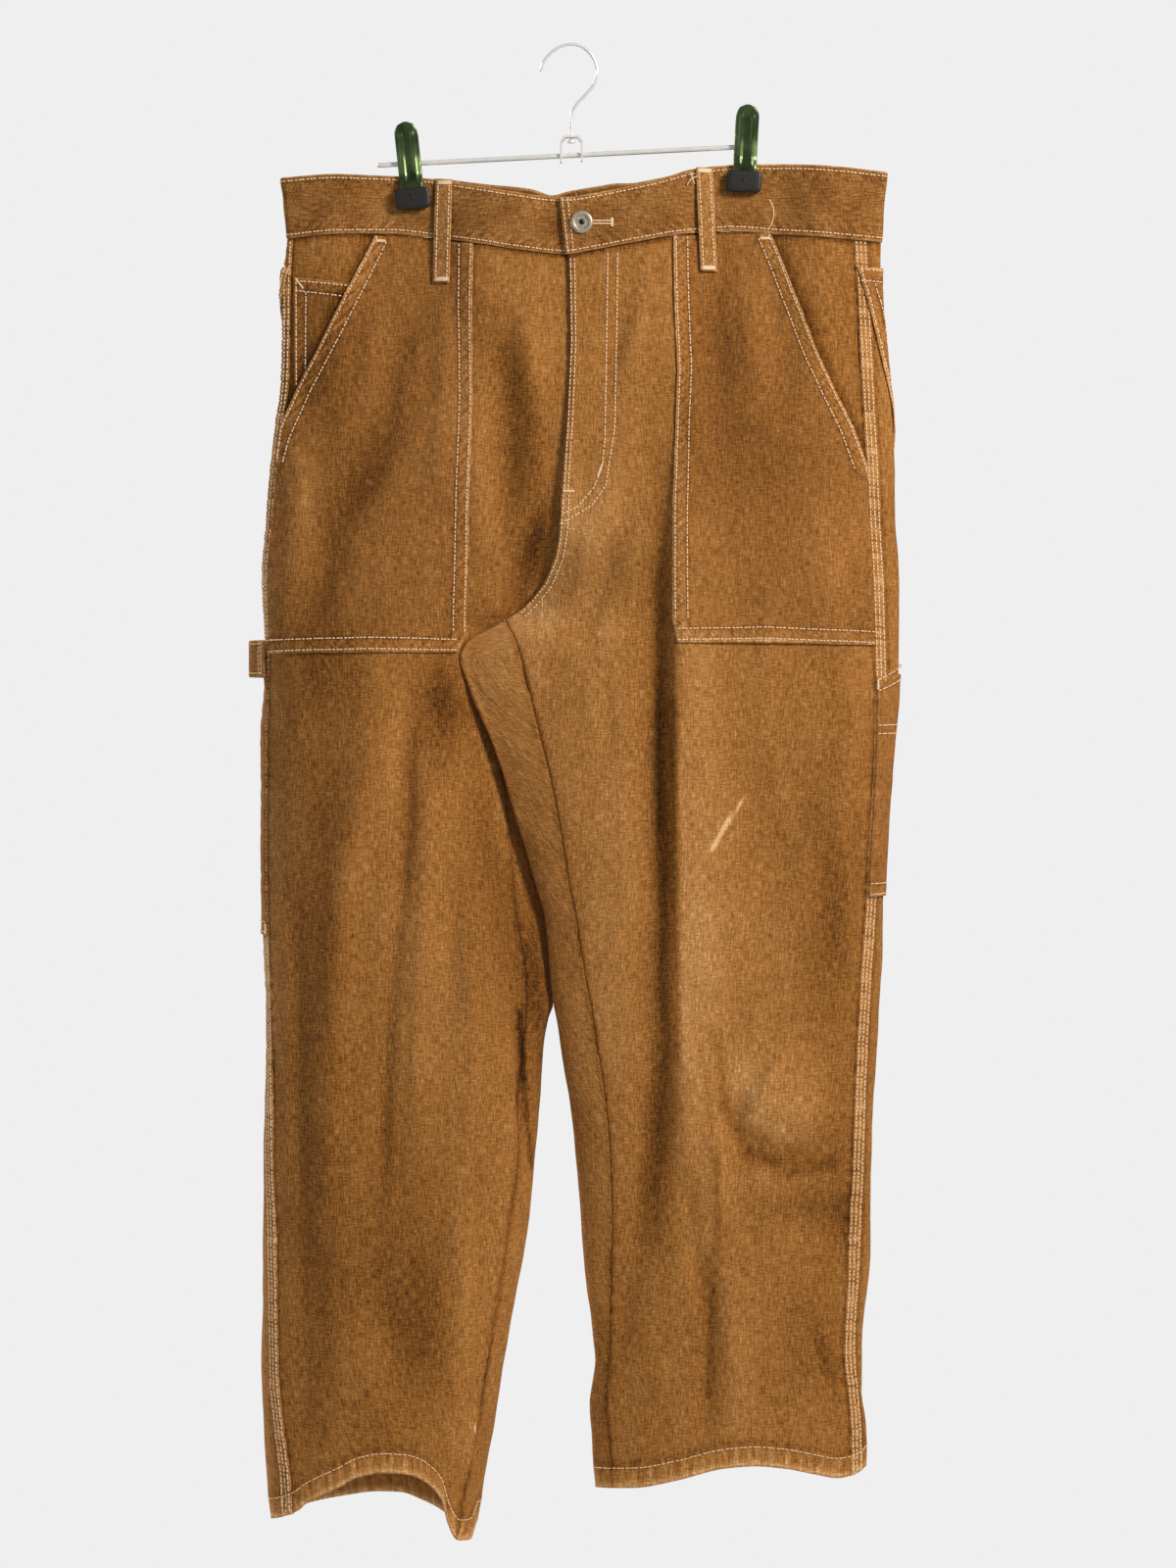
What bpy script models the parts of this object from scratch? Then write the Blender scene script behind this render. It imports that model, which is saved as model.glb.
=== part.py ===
# Painter trousers in cotton duck, hung by the waistband from a two-clip hanger.
# Sizes are in millimetres and become metres when a mesh is made.
# A place is given as x, to the right seen from the front, and drop, the distance
# below the inside top of the hook. The front faces -Y. The suffix _r is the
# wearer's right, at -X, and _l the wearer's left.
import bpy
import bmesh
import math
import numpy as np

MM = 0.001
RIGHT = "r"
LEFT = "l"

# cloth
WALL = 1.4
SEAM_GAP = 0.3
WAIST_GAP = 0.8
HEM_WALL = 2.8
HEM_DEPTH = 15.0
FELL_WIDTH = 10.0
FELL_SLOPE = 1.5
FELL_RISE = 1.0
POCKET_WALL = 1.2
COIN_WALL = 0.8
MOUTH_LIFT = 1.1
UNDERLAP = 5.0
UNDERLAP_FADE = (400.0, 429.0)

# waistband
BAND_OUT = 1.6
BAND_IN = 1.4
BAND_TOP_LEVEL = 100.0
WAIST_SEAM = 148.0
BAND_EDGE_THINNER = 0.5
BACK_RAISE = 8.0
BACK_RAISE_MIDDLE = 5.0
BACK_RAISE_REACH = 118.0
BAND_UNDERLAP = 24.0
BAND_UNDERLAP_SLOPE = 6.0
BAND_OVERLAP_X = -9.5
BAND_OVERLAP_SLOPE = 5.0
BAND_SET_BACK = 3.4
BAND_SET_BACK_FADE = (-40.0, -13.0)
FLY_SET_BACK_FADE = (38.0, 4.0)
FRONT_SPARE = 6.0

# where the legs part, and the height over which the fork closes
CROTCH_DROP = 439.0
FORK_HEIGHT = 75.0
FORK_DEPTH = 2.3
HEM_LEVEL = 1120.0
HEM_FADE = 930.0
WAIST_FADE = 330.0

# hanger
CLIP_X = {RIGHT: -124.0, LEFT: 133.5}
CLIP_TILT = {RIGHT: math.radians(-6.0), LEFT: math.radians(3.0)}
CLIP_FLAT = 17.0
CLIP_FADE = 62.0
PINCH_FADE = (165.0, 300.0)
PINCH_DEPTH = 1.9
WIRE_RADIUS = 1.2
BAR_RADIUS = 1.9
BAR_END_R = (-148.5, 91.5)
BAR_END_L = (139.0, 76.9)
SIDE_CURVE = 4.0
SIDE_FADE = 40.0
FORK_CURVE = 2.6


def table(names, rows):
    values = np.array(rows, dtype=float)
    return {name: values[:, k] for k, name in enumerate(names.split())}


def along(columns, name, key, value):
    return np.interp(value, columns[key], columns[name])


def ramp(value, start, end):
    t = np.clip((np.asarray(value, dtype=float) - start) / (end - start), 0.0, 1.0)
    return t * t * (3.0 - 2.0 * t)


# outer edges and outseams of both legs at each drop
OUTER = table("drop edge_r seam_r edge_l seam_l", [
    (95.0, -222.0, -216.0, 241.0, 216.0),
    (148.0, -217.0, -213.0, 236.5, 216.0),
    (182.0, -220.5, -214.5, 237.0, 218.0),
    (242.0, -221.0, -215.0, 241.5, 220.5),
    (318.0, -229.0, -223.0, 247.5, 224.5),
    (362.0, -232.5, -227.0, 248.0, 226.5),
    (408.0, -236.0, -231.0, 251.0, 229.0),
    (490.0, -233.0, -230.0, 250.0, 231.5),
    (528.0, -235.5, -231.5, 247.0, 231.0),
    (602.0, -235.5, -231.5, 241.0, 227.5),
    (715.0, -234.0, -229.0, 237.0, 220.0),
    (768.0, -233.0, -227.5, 234.0, 217.0),
    (840.0, -235.5, -226.5, 229.5, 214.5),
    (912.0, -236.0, -224.0, 229.0, 212.0),
    (1011.0, -237.0, -222.0, 222.0, 208.0),
    (1050.0, -235.5, -218.5, 222.0, 211.0),
    (1090.0, -233.0, -213.5, 226.0, 213.0),
    (1124.0, -229.5, -211.5, 226.0, 213.5),
])

# inner edges and inseams below the fork
INNER = table("drop edge_r seam_r edge_l seam_l", [
    (439.0, -51.5, -51.5, -50.5, -50.5),
    (445.0, -52.5, -53.5, -60.0, -48.0),
    (451.0, -53.0, -55.5, -71.0, -44.5),
    (458.0, -54.0, -57.0, -81.0, -41.5),
    (468.0, -54.0, -58.5, -85.0, -38.5),
    (490.0, -52.0, -58.0, -79.0, -33.0),
    (528.0, -46.0, -56.0, -63.0, -24.0),
    (565.0, -38.0, -52.0, -50.0, -15.0),
    (602.0, -31.5, -47.0, -39.0, -8.0),
    (640.0, -23.5, -41.0, -27.5, -2.0),
    (670.0, -18.0, -37.5, -19.5, 4.0),
    (715.0, -14.8, -32.0, -15.5, 11.0),
    (734.0, -13.2, -32.0, -12.9, 15.0),
    (744.0, -16.8, -32.5, -11.2, 16.8),
    (768.0, -21.4, -35.0, -7.5, 20.5),
    (812.0, -24.0, -38.0, -1.0, 26.5),
    (858.0, -28.5, -41.0, 4.0, 30.0),
    (902.0, -33.0, -47.0, 7.5, 31.0),
    (948.0, -41.0, -54.5, 12.0, 30.0),
    (992.0, -49.5, -61.5, 17.0, 28.5),
    (1011.0, -53.0, -65.0, 18.5, 28.0),
    (1050.0, -59.0, -71.5, 14.0, 26.5),
    (1090.0, -67.0, -82.0, 16.5, 30.0),
    (1124.0, -72.0, -88.0, 18.5, 31.0),
])

# half depth of the body and of each leg, how round each inner fold is,
# and how far the inner folds lean back or forward past each other
DEPTH = table("drop torso leg_r leg_l round skew", [
    (95.0, 13.0, 36.0, 32.0, 1.0, 0.0),
    (148.0, 15.0, 36.0, 32.0, 1.0, 0.0),
    (200.0, 20.0, 36.0, 32.0, 1.0, 0.0),
    (260.0, 27.0, 36.0, 32.0, 1.0, 0.0),
    (330.0, 33.0, 37.0, 33.0, 1.0, 0.0),
    (439.0, 36.0, 38.0, 34.0, 1.0, 0.0),
    (445.0, 36.0, 38.0, 34.0, 1.0, 6.0),
    (451.0, 36.0, 38.5, 34.0, 1.0, 11.0),
    (458.0, 36.0, 39.0, 34.0, 1.0, 15.0),
    (468.0, 36.0, 39.0, 34.0, 1.0, 17.0),
    (490.0, 36.0, 40.0, 34.0, 0.95, 17.0),
    (565.0, 36.0, 43.0, 33.0, 0.85, 15.0),
    (640.0, 36.0, 44.0, 32.0, 0.7, 11.0),
    (700.0, 36.0, 45.0, 31.0, 0.6, 8.0),
    (760.0, 36.0, 45.0, 31.0, 0.5, 5.0),
    (900.0, 36.0, 45.0, 29.0, 0.5, 2.0),
    (1060.0, 36.0, 46.0, 26.0, 0.5, 0.0),
    (1124.0, 36.0, 46.0, 25.0, 0.5, 0.0),
])

# front edge of the fly and the rise seam, and the seat seam at the back
CENTRE = table("drop fly seat left_set_back", [
    (95.0, -9.0, 4.0, 2.6),
    (148.0, -2.5, 4.0, 2.6),
    (228.0, -1.0, 3.0, 3.2),
    (288.0, -4.0, 0.0, 4.5),
    (340.0, -7.5, -6.0, 7.0),
    (374.0, -9.5, -14.0, 8.0),
    (392.0, -13.0, -20.0, 7.0),
    (411.0, -21.0, -29.0, 4.0),
    (426.0, -33.0, -40.0, 1.5),
    (434.0, -42.0, -47.0, 0.4),
    (439.0, -51.0, -51.0, 0.0),
])

WAIST_TOP = table("x drop", [
    (-224.0, 101.5), (-182.0, 99.0), (-137.0, 100.0), (-103.5, 102.5), (-77.0, 107.5),
    (-47.0, 112.5), (-17.0, 116.5), (-2.0, 117.0), (13.0, 115.0), (43.0, 109.0),
    (73.0, 102.0), (91.5, 96.0), (125.0, 91.5), (155.0, 91.0), (200.0, 93.0), (241.5, 97.0),
])
WAIST_BOTTOM = table("x drop", [
    (-216.0, 148.0), (-182.0, 145.0), (-137.0, 144.0), (-107.0, 147.0), (-77.0, 151.5),
    (-40.0, 157.5), (-2.0, 161.0), (13.0, 158.5), (50.0, 151.5), (88.0, 145.0),
    (121.5, 142.0), (163.0, 145.0), (200.0, 148.0), (238.0, 151.0),
])
HEM_FRONT_R = table("x drop", [
    (-229.5, 1126.0), (-212.0, 1119.0), (-201.0, 1110.5), (-176.0, 1097.5), (-160.5, 1089.5),
    (-143.0, 1086.5), (-126.0, 1087.5), (-115.0, 1091.0), (-106.0, 1097.5), (-98.0, 1108.0),
    (-92.0, 1129.0), (-85.0, 1140.0), (-77.0, 1140.5), (-72.0, 1128.0),
])
HEM_BACK_R = table("x drop", [
    (-229.5, 1126.0), (-201.0, 1119.0), (-176.0, 1115.0), (-149.0, 1112.0), (-132.0, 1112.5),
    (-115.0, 1118.0), (-98.0, 1126.0), (-85.0, 1138.0), (-77.0, 1140.5), (-72.0, 1128.0),
])
HEM_L = table("x drop", [
    (18.0, 1102.5), (50.0, 1101.0), (80.0, 1095.0), (118.0, 1085.5), (140.0, 1084.0),
    (163.0, 1086.0), (185.0, 1090.5), (204.0, 1094.0), (215.0, 1092.0), (226.0, 1086.0),
])

# folds: two ends, half widths towards -x and +x, and depth, negative for a ridge
FOLD_COLUMNS = "x_top drop_top x_low drop_low before after depth"
FRONT_FOLDS = {
    RIGHT: table(FOLD_COLUMNS, [
        (-115.0, 190.0, -141.0, 287.0, 16.0, 10.0, 5.0),
        (-141.0, 287.0, -185.0, 385.0, 18.0, 13.0, 6.5),
        (-185.0, 380.0, -196.0, 455.0, 14.0, 14.0, 5.0),
        (-148.0, 468.0, -176.0, 700.0, 17.0, 14.0, -7.0),
        (-178.0, 670.0, -182.0, 860.0, 15.0, 13.0, -6.0),
        (-182.0, 840.0, -170.0, 1010.0, 16.0, 18.0, -4.5),
        (-118.0, 500.0, -147.0, 900.0, 12.0, 10.0, 5.0),
        (-76.0, 780.0, -86.0, 1020.0, 14.0, 12.0, -4.5),
        (-150.0, 920.0, -112.0, 1050.0, 18.0, 14.0, 4.0),
        (-50.0, 215.0, -46.0, 425.0, 14.0, 14.0, 6.0),
        (-66.0, 380.0, -80.0, 452.0, 16.0, 14.0, 4.0),
        (-48.0, 610.0, -34.0, 760.0, 13.0, 11.0, 7.0),
    ]),
    LEFT: table(FOLD_COLUMNS, [
        (80.0, 320.0, 82.0, 700.0, 9.0, 30.0, -9.0),
        (66.0, 370.0, 69.0, 760.0, 24.0, 9.0, 7.0),
        (83.0, 680.0, 90.0, 940.0, 13.0, 26.0, -7.0),
        (66.0, 730.0, 60.0, 915.0, 18.0, 12.0, 5.0),
        (155.0, 510.0, 152.0, 740.0, 34.0, 26.0, 5.0),
        (212.0, 465.0, 209.0, 720.0, 20.0, 9.0, -4.5),
        (191.0, 350.0, 195.0, 455.0, 16.0, 14.0, -4.0),
        (44.0, 350.0, 8.0, 450.0, 13.0, 11.0, 5.0),
        (142.0, 782.0, 164.0, 796.0, 30.0, 30.0, -8.0),
        (120.0, 826.0, 155.0, 856.0, 12.0, 12.0, 5.0),
        (155.0, 856.0, 204.0, 846.0, 12.0, 12.0, 4.0),
        (88.0, 870.0, 104.0, 1040.0, 12.0, 11.0, 5.0),
        (121.0, 905.0, 125.0, 1035.0, 11.0, 17.0, -4.0),
    ]),
}
BACK_FOLDS = {
    RIGHT: table(FOLD_COLUMNS, [
        (-70.0, 370.0, -150.0, 430.0, 16.0, 16.0, 6.0),
        (-60.0, 470.0, -190.0, 500.0, 15.0, 12.0, 6.0),
        (-150.0, 560.0, -140.0, 760.0, 22.0, 14.0, 7.0),
        (-60.0, 800.0, -190.0, 840.0, 16.0, 12.0, 6.0),
        (-120.0, 880.0, -150.0, 1050.0, 16.0, 16.0, 5.0),
    ]),
    LEFT: table(FOLD_COLUMNS, [
        (20.0, 390.0, 120.0, 430.0, 16.0, 16.0, 6.0),
        (10.0, 500.0, 170.0, 520.0, 14.0, 14.0, 5.0),
        (120.0, 560.0, 110.0, 780.0, 14.0, 20.0, 6.0),
        (20.0, 830.0, 180.0, 850.0, 15.0, 15.0, 5.0),
        (130.0, 900.0, 110.0, 1040.0, 16.0, 16.0, 5.0),
    ]),
}

# levels of the rows that both panels of a leg share
ROW_LEVELS = (
    WAIST_SEAM, 176.0, 210.0, 246.0, 282.0, 316.0, 348.0, 376.0, 399.0, 417.0, 429.0,
    CROTCH_DROP, 445.0, 451.0, 458.0, 468.0, 488.0, 520.0, 562.0, 608.0, 656.0, 704.0,
    734.0, 756.0, 800.0, 848.0, 896.0, 946.0, 996.0, 1046.0, 1084.0,
    HEM_LEVEL - HEM_DEPTH - 1.0, HEM_LEVEL - HEM_DEPTH, HEM_LEVEL,
)
FRONT_COLUMNS = 16
BACK_COLUMNS = 20
BEND_WEIGHT = 22.0
DIRECTION_STEP = 0.8
BACK_TURN = 0.3
FOLD_FACING = (0.25, 0.8)
FOLD_START = (165.0, 230.0)
FOLD_END = 0.35
FORK_COLUMNS = 5
FORK_SHARE = 0.06
DENSE = 240
BAND_STEPS = 15
BAND_TURN = 12.0
BAND_TURN_PARTS = (-0.5, -0.17, 0.17, 0.5)
BAND_ROW_PARTS = (0.0, 0.08, 0.92, 1.0)


def outward(side):
    return -1.0 if side == RIGHT else 1.0


def leg_depth(side, drop, x, inner):
    outer = along(OUTER, "edge_" + side, "drop", drop)
    middle = (outer + inner) / 2.0
    half = abs(outer - inner) / 2.0
    place = np.clip((x - middle) / half * -outward(side), -1.0, 1.0)
    away = np.abs(place)
    power = np.where(place > 0.0, along(DEPTH, "round", "drop", drop), 0.5)
    depth = along(DEPTH, "leg_" + side, "drop", drop) * (1.0 - away ** 2.3) ** power
    curve = np.where(place > 0.0, FORK_CURVE, SIDE_CURVE)
    edge = np.minimum(half * (1.0 - away), curve)
    return np.maximum(depth, np.sqrt(np.maximum(curve ** 2 - (curve - edge) ** 2, 0.0))), place


def torso_depth(drop, x):
    edge_r = along(OUTER, "edge_r", "drop", drop)
    edge_l = along(OUTER, "edge_l", "drop", drop)
    half = (edge_l - edge_r) / 2.0
    away = np.clip(np.abs(x - (edge_r + edge_l) / 2.0) / half, 0.0, 1.0)
    depth = along(DEPTH, "torso", "drop", drop) * (1.0 - away ** 2.4) ** 0.5
    hold = 0.0
    for side in (RIGHT, LEFT):
        near = 1.0 - ramp(np.abs(x - CLIP_X[side]), CLIP_FLAT, CLIP_FADE)
        hold = np.maximum(hold, near * (1.0 - ramp(drop, *PINCH_FADE)))
    depth = depth * (1.0 - hold) + PINCH_DEPTH * hold
    edge = np.minimum(half * (1.0 - away), SIDE_CURVE)
    curve = np.sqrt(np.maximum(SIDE_CURVE ** 2 - (SIDE_CURVE - edge) ** 2, 0.0))
    return np.maximum(depth, curve * (1.0 - ramp(half * (1.0 - away), SIDE_CURVE, SIDE_FADE)))


def centre_x(drop, back):
    return along(CENTRE, "seat" if back else "fly", "drop", drop)


def depth_at(side, drop, x, back):
    if drop > CROTCH_DROP:
        depth, place = leg_depth(side, drop, x, along(INNER, "edge_" + side, "drop", drop))
        lean = along(DEPTH, "skew", "drop", drop) * np.maximum(place, 0.0) ** 2
        return depth, lean * -outward(side)
    near_fork = ramp(drop, CROTCH_DROP - FORK_HEIGHT, CROTCH_DROP)
    leg, place = leg_depth(side, drop, x, centre_x(drop, back))
    depth = torso_depth(drop, x) * (1.0 - near_fork) + np.maximum(leg, FORK_DEPTH) * near_fork
    at_side = place < -0.9
    return np.where(at_side, np.maximum(np.minimum(leg, depth), 0.0) * near_fork
                    + depth * (1.0 - near_fork), depth), 0.0 * x


def face_path(side, drop, back):
    outer = along(OUTER, "edge_" + side, "drop", drop)
    if drop > CROTCH_DROP:
        inner = along(INNER, "edge_" + side, "drop", drop)
    else:
        inner = centre_x(drop, back)
        if side == RIGHT and not back:
            inner = inner + BAND_UNDERLAP + FRONT_SPARE
    turn = np.linspace(0.0, math.pi, DENSE)
    x = outer + (inner - outer) * (1.0 - np.cos(turn)) / 2.0
    depth, lean = depth_at(side, drop, x, back)
    if drop <= CROTCH_DROP and not (side == RIGHT and not back):
        depth[-1] = depth[-2]
    y = (depth if back else -depth) + lean
    return np.stack([x, y], axis=1)


def length_along(path):
    steps = np.hypot(*np.diff(path, axis=0).T)
    return np.concatenate([[0.0], np.cumsum(steps)])


def cut_path(path, x_from, x_to):
    lengths = length_along(path)
    order = np.argsort(path[:, 0])
    start, end = np.interp((x_from, x_to), path[order, 0], lengths[order])
    return start, end, lengths


def points_on(path, lengths, places):
    x = np.interp(places, lengths, path[:, 0])
    y = np.interp(places, lengths, path[:, 1])
    ahead = np.clip(places + DIRECTION_STEP, 0.0, lengths[-1])
    behind = np.clip(places - DIRECTION_STEP, 0.0, lengths[-1])
    tx = np.interp(ahead, lengths, path[:, 0]) - np.interp(behind, lengths, path[:, 0])
    ty = np.interp(ahead, lengths, path[:, 1]) - np.interp(behind, lengths, path[:, 1])
    size = np.hypot(tx, ty)
    return x, y, ty / size, -tx / size


def spread(path, lengths, start, end, count):
    steps = np.diff(path, axis=0)
    heading = np.unwrap(np.arctan2(steps[:, 1], steps[:, 0]))
    turning = np.concatenate([[0.0], np.cumsum(np.abs(np.diff(heading))), [0.0]])
    turning[-1] = turning[-2]
    measure = lengths + BEND_WEIGHT * turning
    first, last = np.interp((start, end), lengths, measure)
    return np.interp(np.linspace(first, last, count), measure, lengths)


def front_row(side, drop):
    path = face_path(side, drop, False)
    seam = along(OUTER, "seam_" + side, "drop", drop)
    if drop > CROTCH_DROP:
        centre = along(INNER, "seam_" + side, "drop", drop)
        reach = 0.0
    else:
        centre = centre_x(drop, False)
        reach = UNDERLAP * (1.0 - ramp(drop, *UNDERLAP_FADE)) if side == RIGHT else 0.0
    start, end, lengths = cut_path(path, seam, centre + reach)
    start = start + SEAM_GAP / 2.0
    end = end - (0.0 if reach > 0.0 else SEAM_GAP / 2.0)
    places = np.linspace(start, end, FRONT_COLUMNS + 1)
    x, y, nx, ny = points_on(path, lengths, places)
    return x, y, -outward(side) * nx, -outward(side) * ny


def back_row(side, drop):
    front = face_path(side, drop, False)
    seam = along(OUTER, "seam_" + side, "drop", drop)
    start, _, lengths = cut_path(front, seam, seam)
    keep = lengths < start
    cut = np.array([[seam, np.interp(start, lengths, front[:, 1])]])
    pieces = [cut, front[keep][::-1], face_path(side, drop, True)[1:]]
    wrap = 0.0
    if drop > CROTCH_DROP:
        inseam = along(INNER, "seam_" + side, "drop", drop)
        _, end, lengths = cut_path(front, seam, inseam)
        tail = front[lengths > end][::-1][1:]
        stop = np.array([[inseam, np.interp(end, lengths, front[:, 1])]])
        pieces.extend([tail, stop])
        wrap = lengths[-1] - end
    path = np.concatenate(pieces)
    lengths = length_along(path)
    total = lengths[-1]
    share = max(FORK_SHARE, wrap / total)
    first = SEAM_GAP / 2.0
    fell = np.array([first, FELL_WIDTH, FELL_WIDTH + FELL_SLOPE])
    turn = total * (1.0 - share)
    middle = spread(path, lengths, fell[-1], turn, BACK_COLUMNS - FORK_COLUMNS - 1)[1:]
    tail = np.linspace(turn, total - first, FORK_COLUMNS + 1)[1:]
    places = np.concatenate([fell, middle, tail])
    x, y, nx, ny = points_on(path, lengths, places)
    return x, y, outward(side) * nx, outward(side) * ny


def fold_depth(folds, x, drop):
    total = np.zeros_like(x)
    for k in range(len(folds["x_top"])):
        ax, ad = folds["x_top"][k], folds["drop_top"][k]
        bx, bd = folds["x_low"][k] - ax, folds["drop_low"][k] - ad
        t = np.clip(((x - ax) * bx + (drop - ad) * bd) / (bx * bx + bd * bd), 0.0, 1.0)
        dx = x - ax - t * bx
        half_width = np.where(dx < 0.0, folds["before"][k], folds["after"][k])
        away = np.hypot(dx, drop - ad - t * bd) / half_width
        along_fold = FOLD_END + (1.0 - FOLD_END) * np.sin(math.pi * t)
        total = total + folds["depth"][k] * np.exp(-(away ** 2)) * along_fold
    return total


def back_raise(x):
    return BACK_RAISE * np.clip(1.0 - ((x - BACK_RAISE_MIDDLE) / BACK_RAISE_REACH) ** 2, 0.0, 1.0)


def shift_of_rows(side, level, x, ny):
    back = ramp(ny, -BACK_TURN, BACK_TURN)
    waist = along(WAIST_BOTTOM, "drop", "x", x) + WAIST_GAP - WAIST_SEAM - back * back_raise(x)
    if side == RIGHT:
        hem_front = along(HEM_FRONT_R, "drop", "x", x)
        hem = hem_front + (along(HEM_BACK_R, "drop", "x", x) - hem_front) * back - HEM_LEVEL
    else:
        hem = along(HEM_L, "drop", "x", x) - HEM_LEVEL
    at_waist = 1.0 - ramp(level, WAIST_SEAM, WAIST_FADE)
    return waist * at_waist + hem * ramp(level, HEM_FADE, HEM_LEVEL)


def set_back(side, level, x):
    if side == LEFT or level > CROTCH_DROP:
        return np.zeros_like(x)
    fly = centre_x(level, False)
    near_fly = ramp(x, fly - FLY_SET_BACK_FADE[0], fly - FLY_SET_BACK_FADE[1])
    return along(CENTRE, "left_set_back", "drop", level) * near_fly


def panel(side, back):
    base = []
    normal = []
    for level in ROW_LEVELS:
        x, y, nx, ny = back_row(side, level) if back else front_row(side, level)
        drop = level + shift_of_rows(side, level, x, ny)
        folds = fold_depth(FRONT_FOLDS[side], x, drop) * ramp(-ny, *FOLD_FACING)
        folds = folds + fold_depth(BACK_FOLDS[side], x, drop) * ramp(ny, *FOLD_FACING)
        folds = folds * ramp(level, *FOLD_START)
        if not back:
            y = y + set_back(side, level, x)
        base.append(np.stack([x - nx * folds, y - ny * folds, -drop], axis=1))
        normal.append(np.stack([nx, ny, 0.0 * nx], axis=1))
    base = np.array(base)
    normal = np.array(normal)
    rise = np.zeros(base.shape[1])
    if back:
        rise[:2] = FELL_RISE
    wall = np.full(len(ROW_LEVELS), WALL)
    wall[-2:] = HEM_WALL
    outer = base + normal * rise[None, :, None]
    inner = base - normal * wall[:, None, None]
    return {"outer": outer, "inner": inner, "normal": normal, "side": side, "back": back}


def band(side):
    rows = []
    for part in BAND_ROW_PARTS:
        level = BAND_TOP_LEVEL + part * (WAIST_SEAM - BAND_TOP_LEVEL)
        end = BAND_OVERLAP_X + BAND_OVERLAP_SLOPE * part
        if side == RIGHT:
            end = BAND_UNDERLAP - BAND_UNDERLAP_SLOPE * part
        front = face_path(side, level, False)
        start, _, lengths = cut_path(front, end, end)
        keep = lengths < start
        cut = np.array([[end, np.interp(start, lengths, front[:, 1])]])
        seat = face_path(side, level, True)
        seat[-1, 0] = seat[-1, 0] + outward(side) * SEAM_GAP / 2.0
        path = np.concatenate([cut, front[keep][::-1], seat[1:]])
        lengths = length_along(path)
        side_place = lengths[len(front[keep])]
        before = np.linspace(0.0, side_place - BAND_TURN, BAND_STEPS)
        after = np.linspace(side_place + BAND_TURN, lengths[-1], BAND_STEPS)
        turn = side_place + BAND_TURN * np.array(BAND_TURN_PARTS)
        places = np.concatenate([before, turn, after])
        x, y, nx, ny = points_on(path, lengths, places)
        nx, ny = outward(side) * nx, outward(side) * ny
        back = ramp(ny, -BACK_TURN, BACK_TURN)
        top = along(WAIST_TOP, "drop", "x", x)
        low = along(WAIST_BOTTOM, "drop", "x", x)
        drop = top + (low - top) * part - back * back_raise(x)
        if side == RIGHT:
            y = y + BAND_SET_BACK * ramp(x, *BAND_SET_BACK_FADE) * (ny < 0.0)
        thin = BAND_EDGE_THINNER if part in (BAND_ROW_PARTS[0], BAND_ROW_PARTS[-1]) else 0.0
        place = np.stack([x, y, -drop], axis=1)
        facing = np.stack([nx, ny, 0.0 * nx], axis=1)
        rows.append((place + facing * (BAND_OUT - thin), place - facing * (BAND_IN - thin)))
    outer = np.array([row[0] for row in rows])
    inner = np.array([row[1] for row in rows])
    return {"outer": outer, "inner": inner, "side": side}


def finish(mesh, name):
    bmesh.ops.remove_doubles(mesh, verts=mesh.verts, dist=1e-7)
    bmesh.ops.recalc_face_normals(mesh, faces=mesh.faces)
    if mesh.calc_volume(signed=True) < 0.0:
        bmesh.ops.reverse_faces(mesh, faces=mesh.faces)
    data = bpy.data.meshes.new(name)
    mesh.to_mesh(data)
    mesh.free()
    thing = bpy.data.objects.new(name, data)
    bpy.context.scene.collection.objects.link(thing)
    return thing


def closed_sheet(name, outer, inner):
    rows, columns = outer.shape[:2]
    mesh = bmesh.new()
    top = [[mesh.verts.new(outer[i, j] * MM) for j in range(columns)] for i in range(rows)]
    low = [[mesh.verts.new(inner[i, j] * MM) for j in range(columns)] for i in range(rows)]
    for i in range(rows - 1):
        for j in range(columns - 1):
            for grid, order in ((top, 1), (low, -1)):
                a, b = grid[i][j], grid[i][j + 1]
                c, d = grid[i + 1][j + 1], grid[i + 1][j]
                mesh.faces.new((a, b, c)[::order])
                mesh.faces.new((a, c, d)[::order])
    rim = [(0, j) for j in range(columns)] + [(i, columns - 1) for i in range(1, rows)]
    rim += [(rows - 1, j) for j in range(columns - 2, -1, -1)] + [(i, 0) for i in range(rows - 2, 0, -1)]
    for k, (i, j) in enumerate(rim):
        m, n = rim[(k + 1) % len(rim)]
        mesh.faces.new((top[m][n], top[i][j], low[i][j]))
        mesh.faces.new((top[m][n], low[i][j], low[m][n]))
    return finish(mesh, name)


def on_panel(grid, u, v):
    i = int(min(math.floor(v), grid.shape[0] - 2))
    j = int(min(math.floor(u), grid.shape[1] - 2))
    fu, fv = u - j, v - i
    a, b, c, d = grid[i, j], grid[i, j + 1], grid[i + 1, j + 1], grid[i + 1, j]
    if fu >= fv:
        return a + fu * (b - a) + fv * (c - b)
    return a + fv * (d - a) + fu * (c - d)


def find_on_panel(sheet, across, drop):
    grid = sheet["outer"]
    v = 0.0
    u = 0.0
    for _ in range(12):
        i = int(min(math.floor(v), grid.shape[0] - 2))
        row = grid[i] * (1.0 - (v - i)) + grid[i + 1] * (v - i)
        if sheet["back"]:
            key = length_along(row[:, :2])
            target = across
        else:
            key = row[:, 0] * outward(sheet["side"])
            target = across * outward(sheet["side"])
            order = np.argsort(key)
            u = float(np.interp(target, key[order], np.arange(len(key))[order]))
        if sheet["back"]:
            u = float(np.interp(target, key, np.arange(len(key))))
        j = int(min(math.floor(u), grid.shape[1] - 2))
        drops = -(grid[:, j, 2] * (1.0 - (u - j)) + grid[:, j + 1, 2] * (u - j))
        v = float(np.interp(drop, drops, np.arange(len(drops))))
    return u, v


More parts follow.
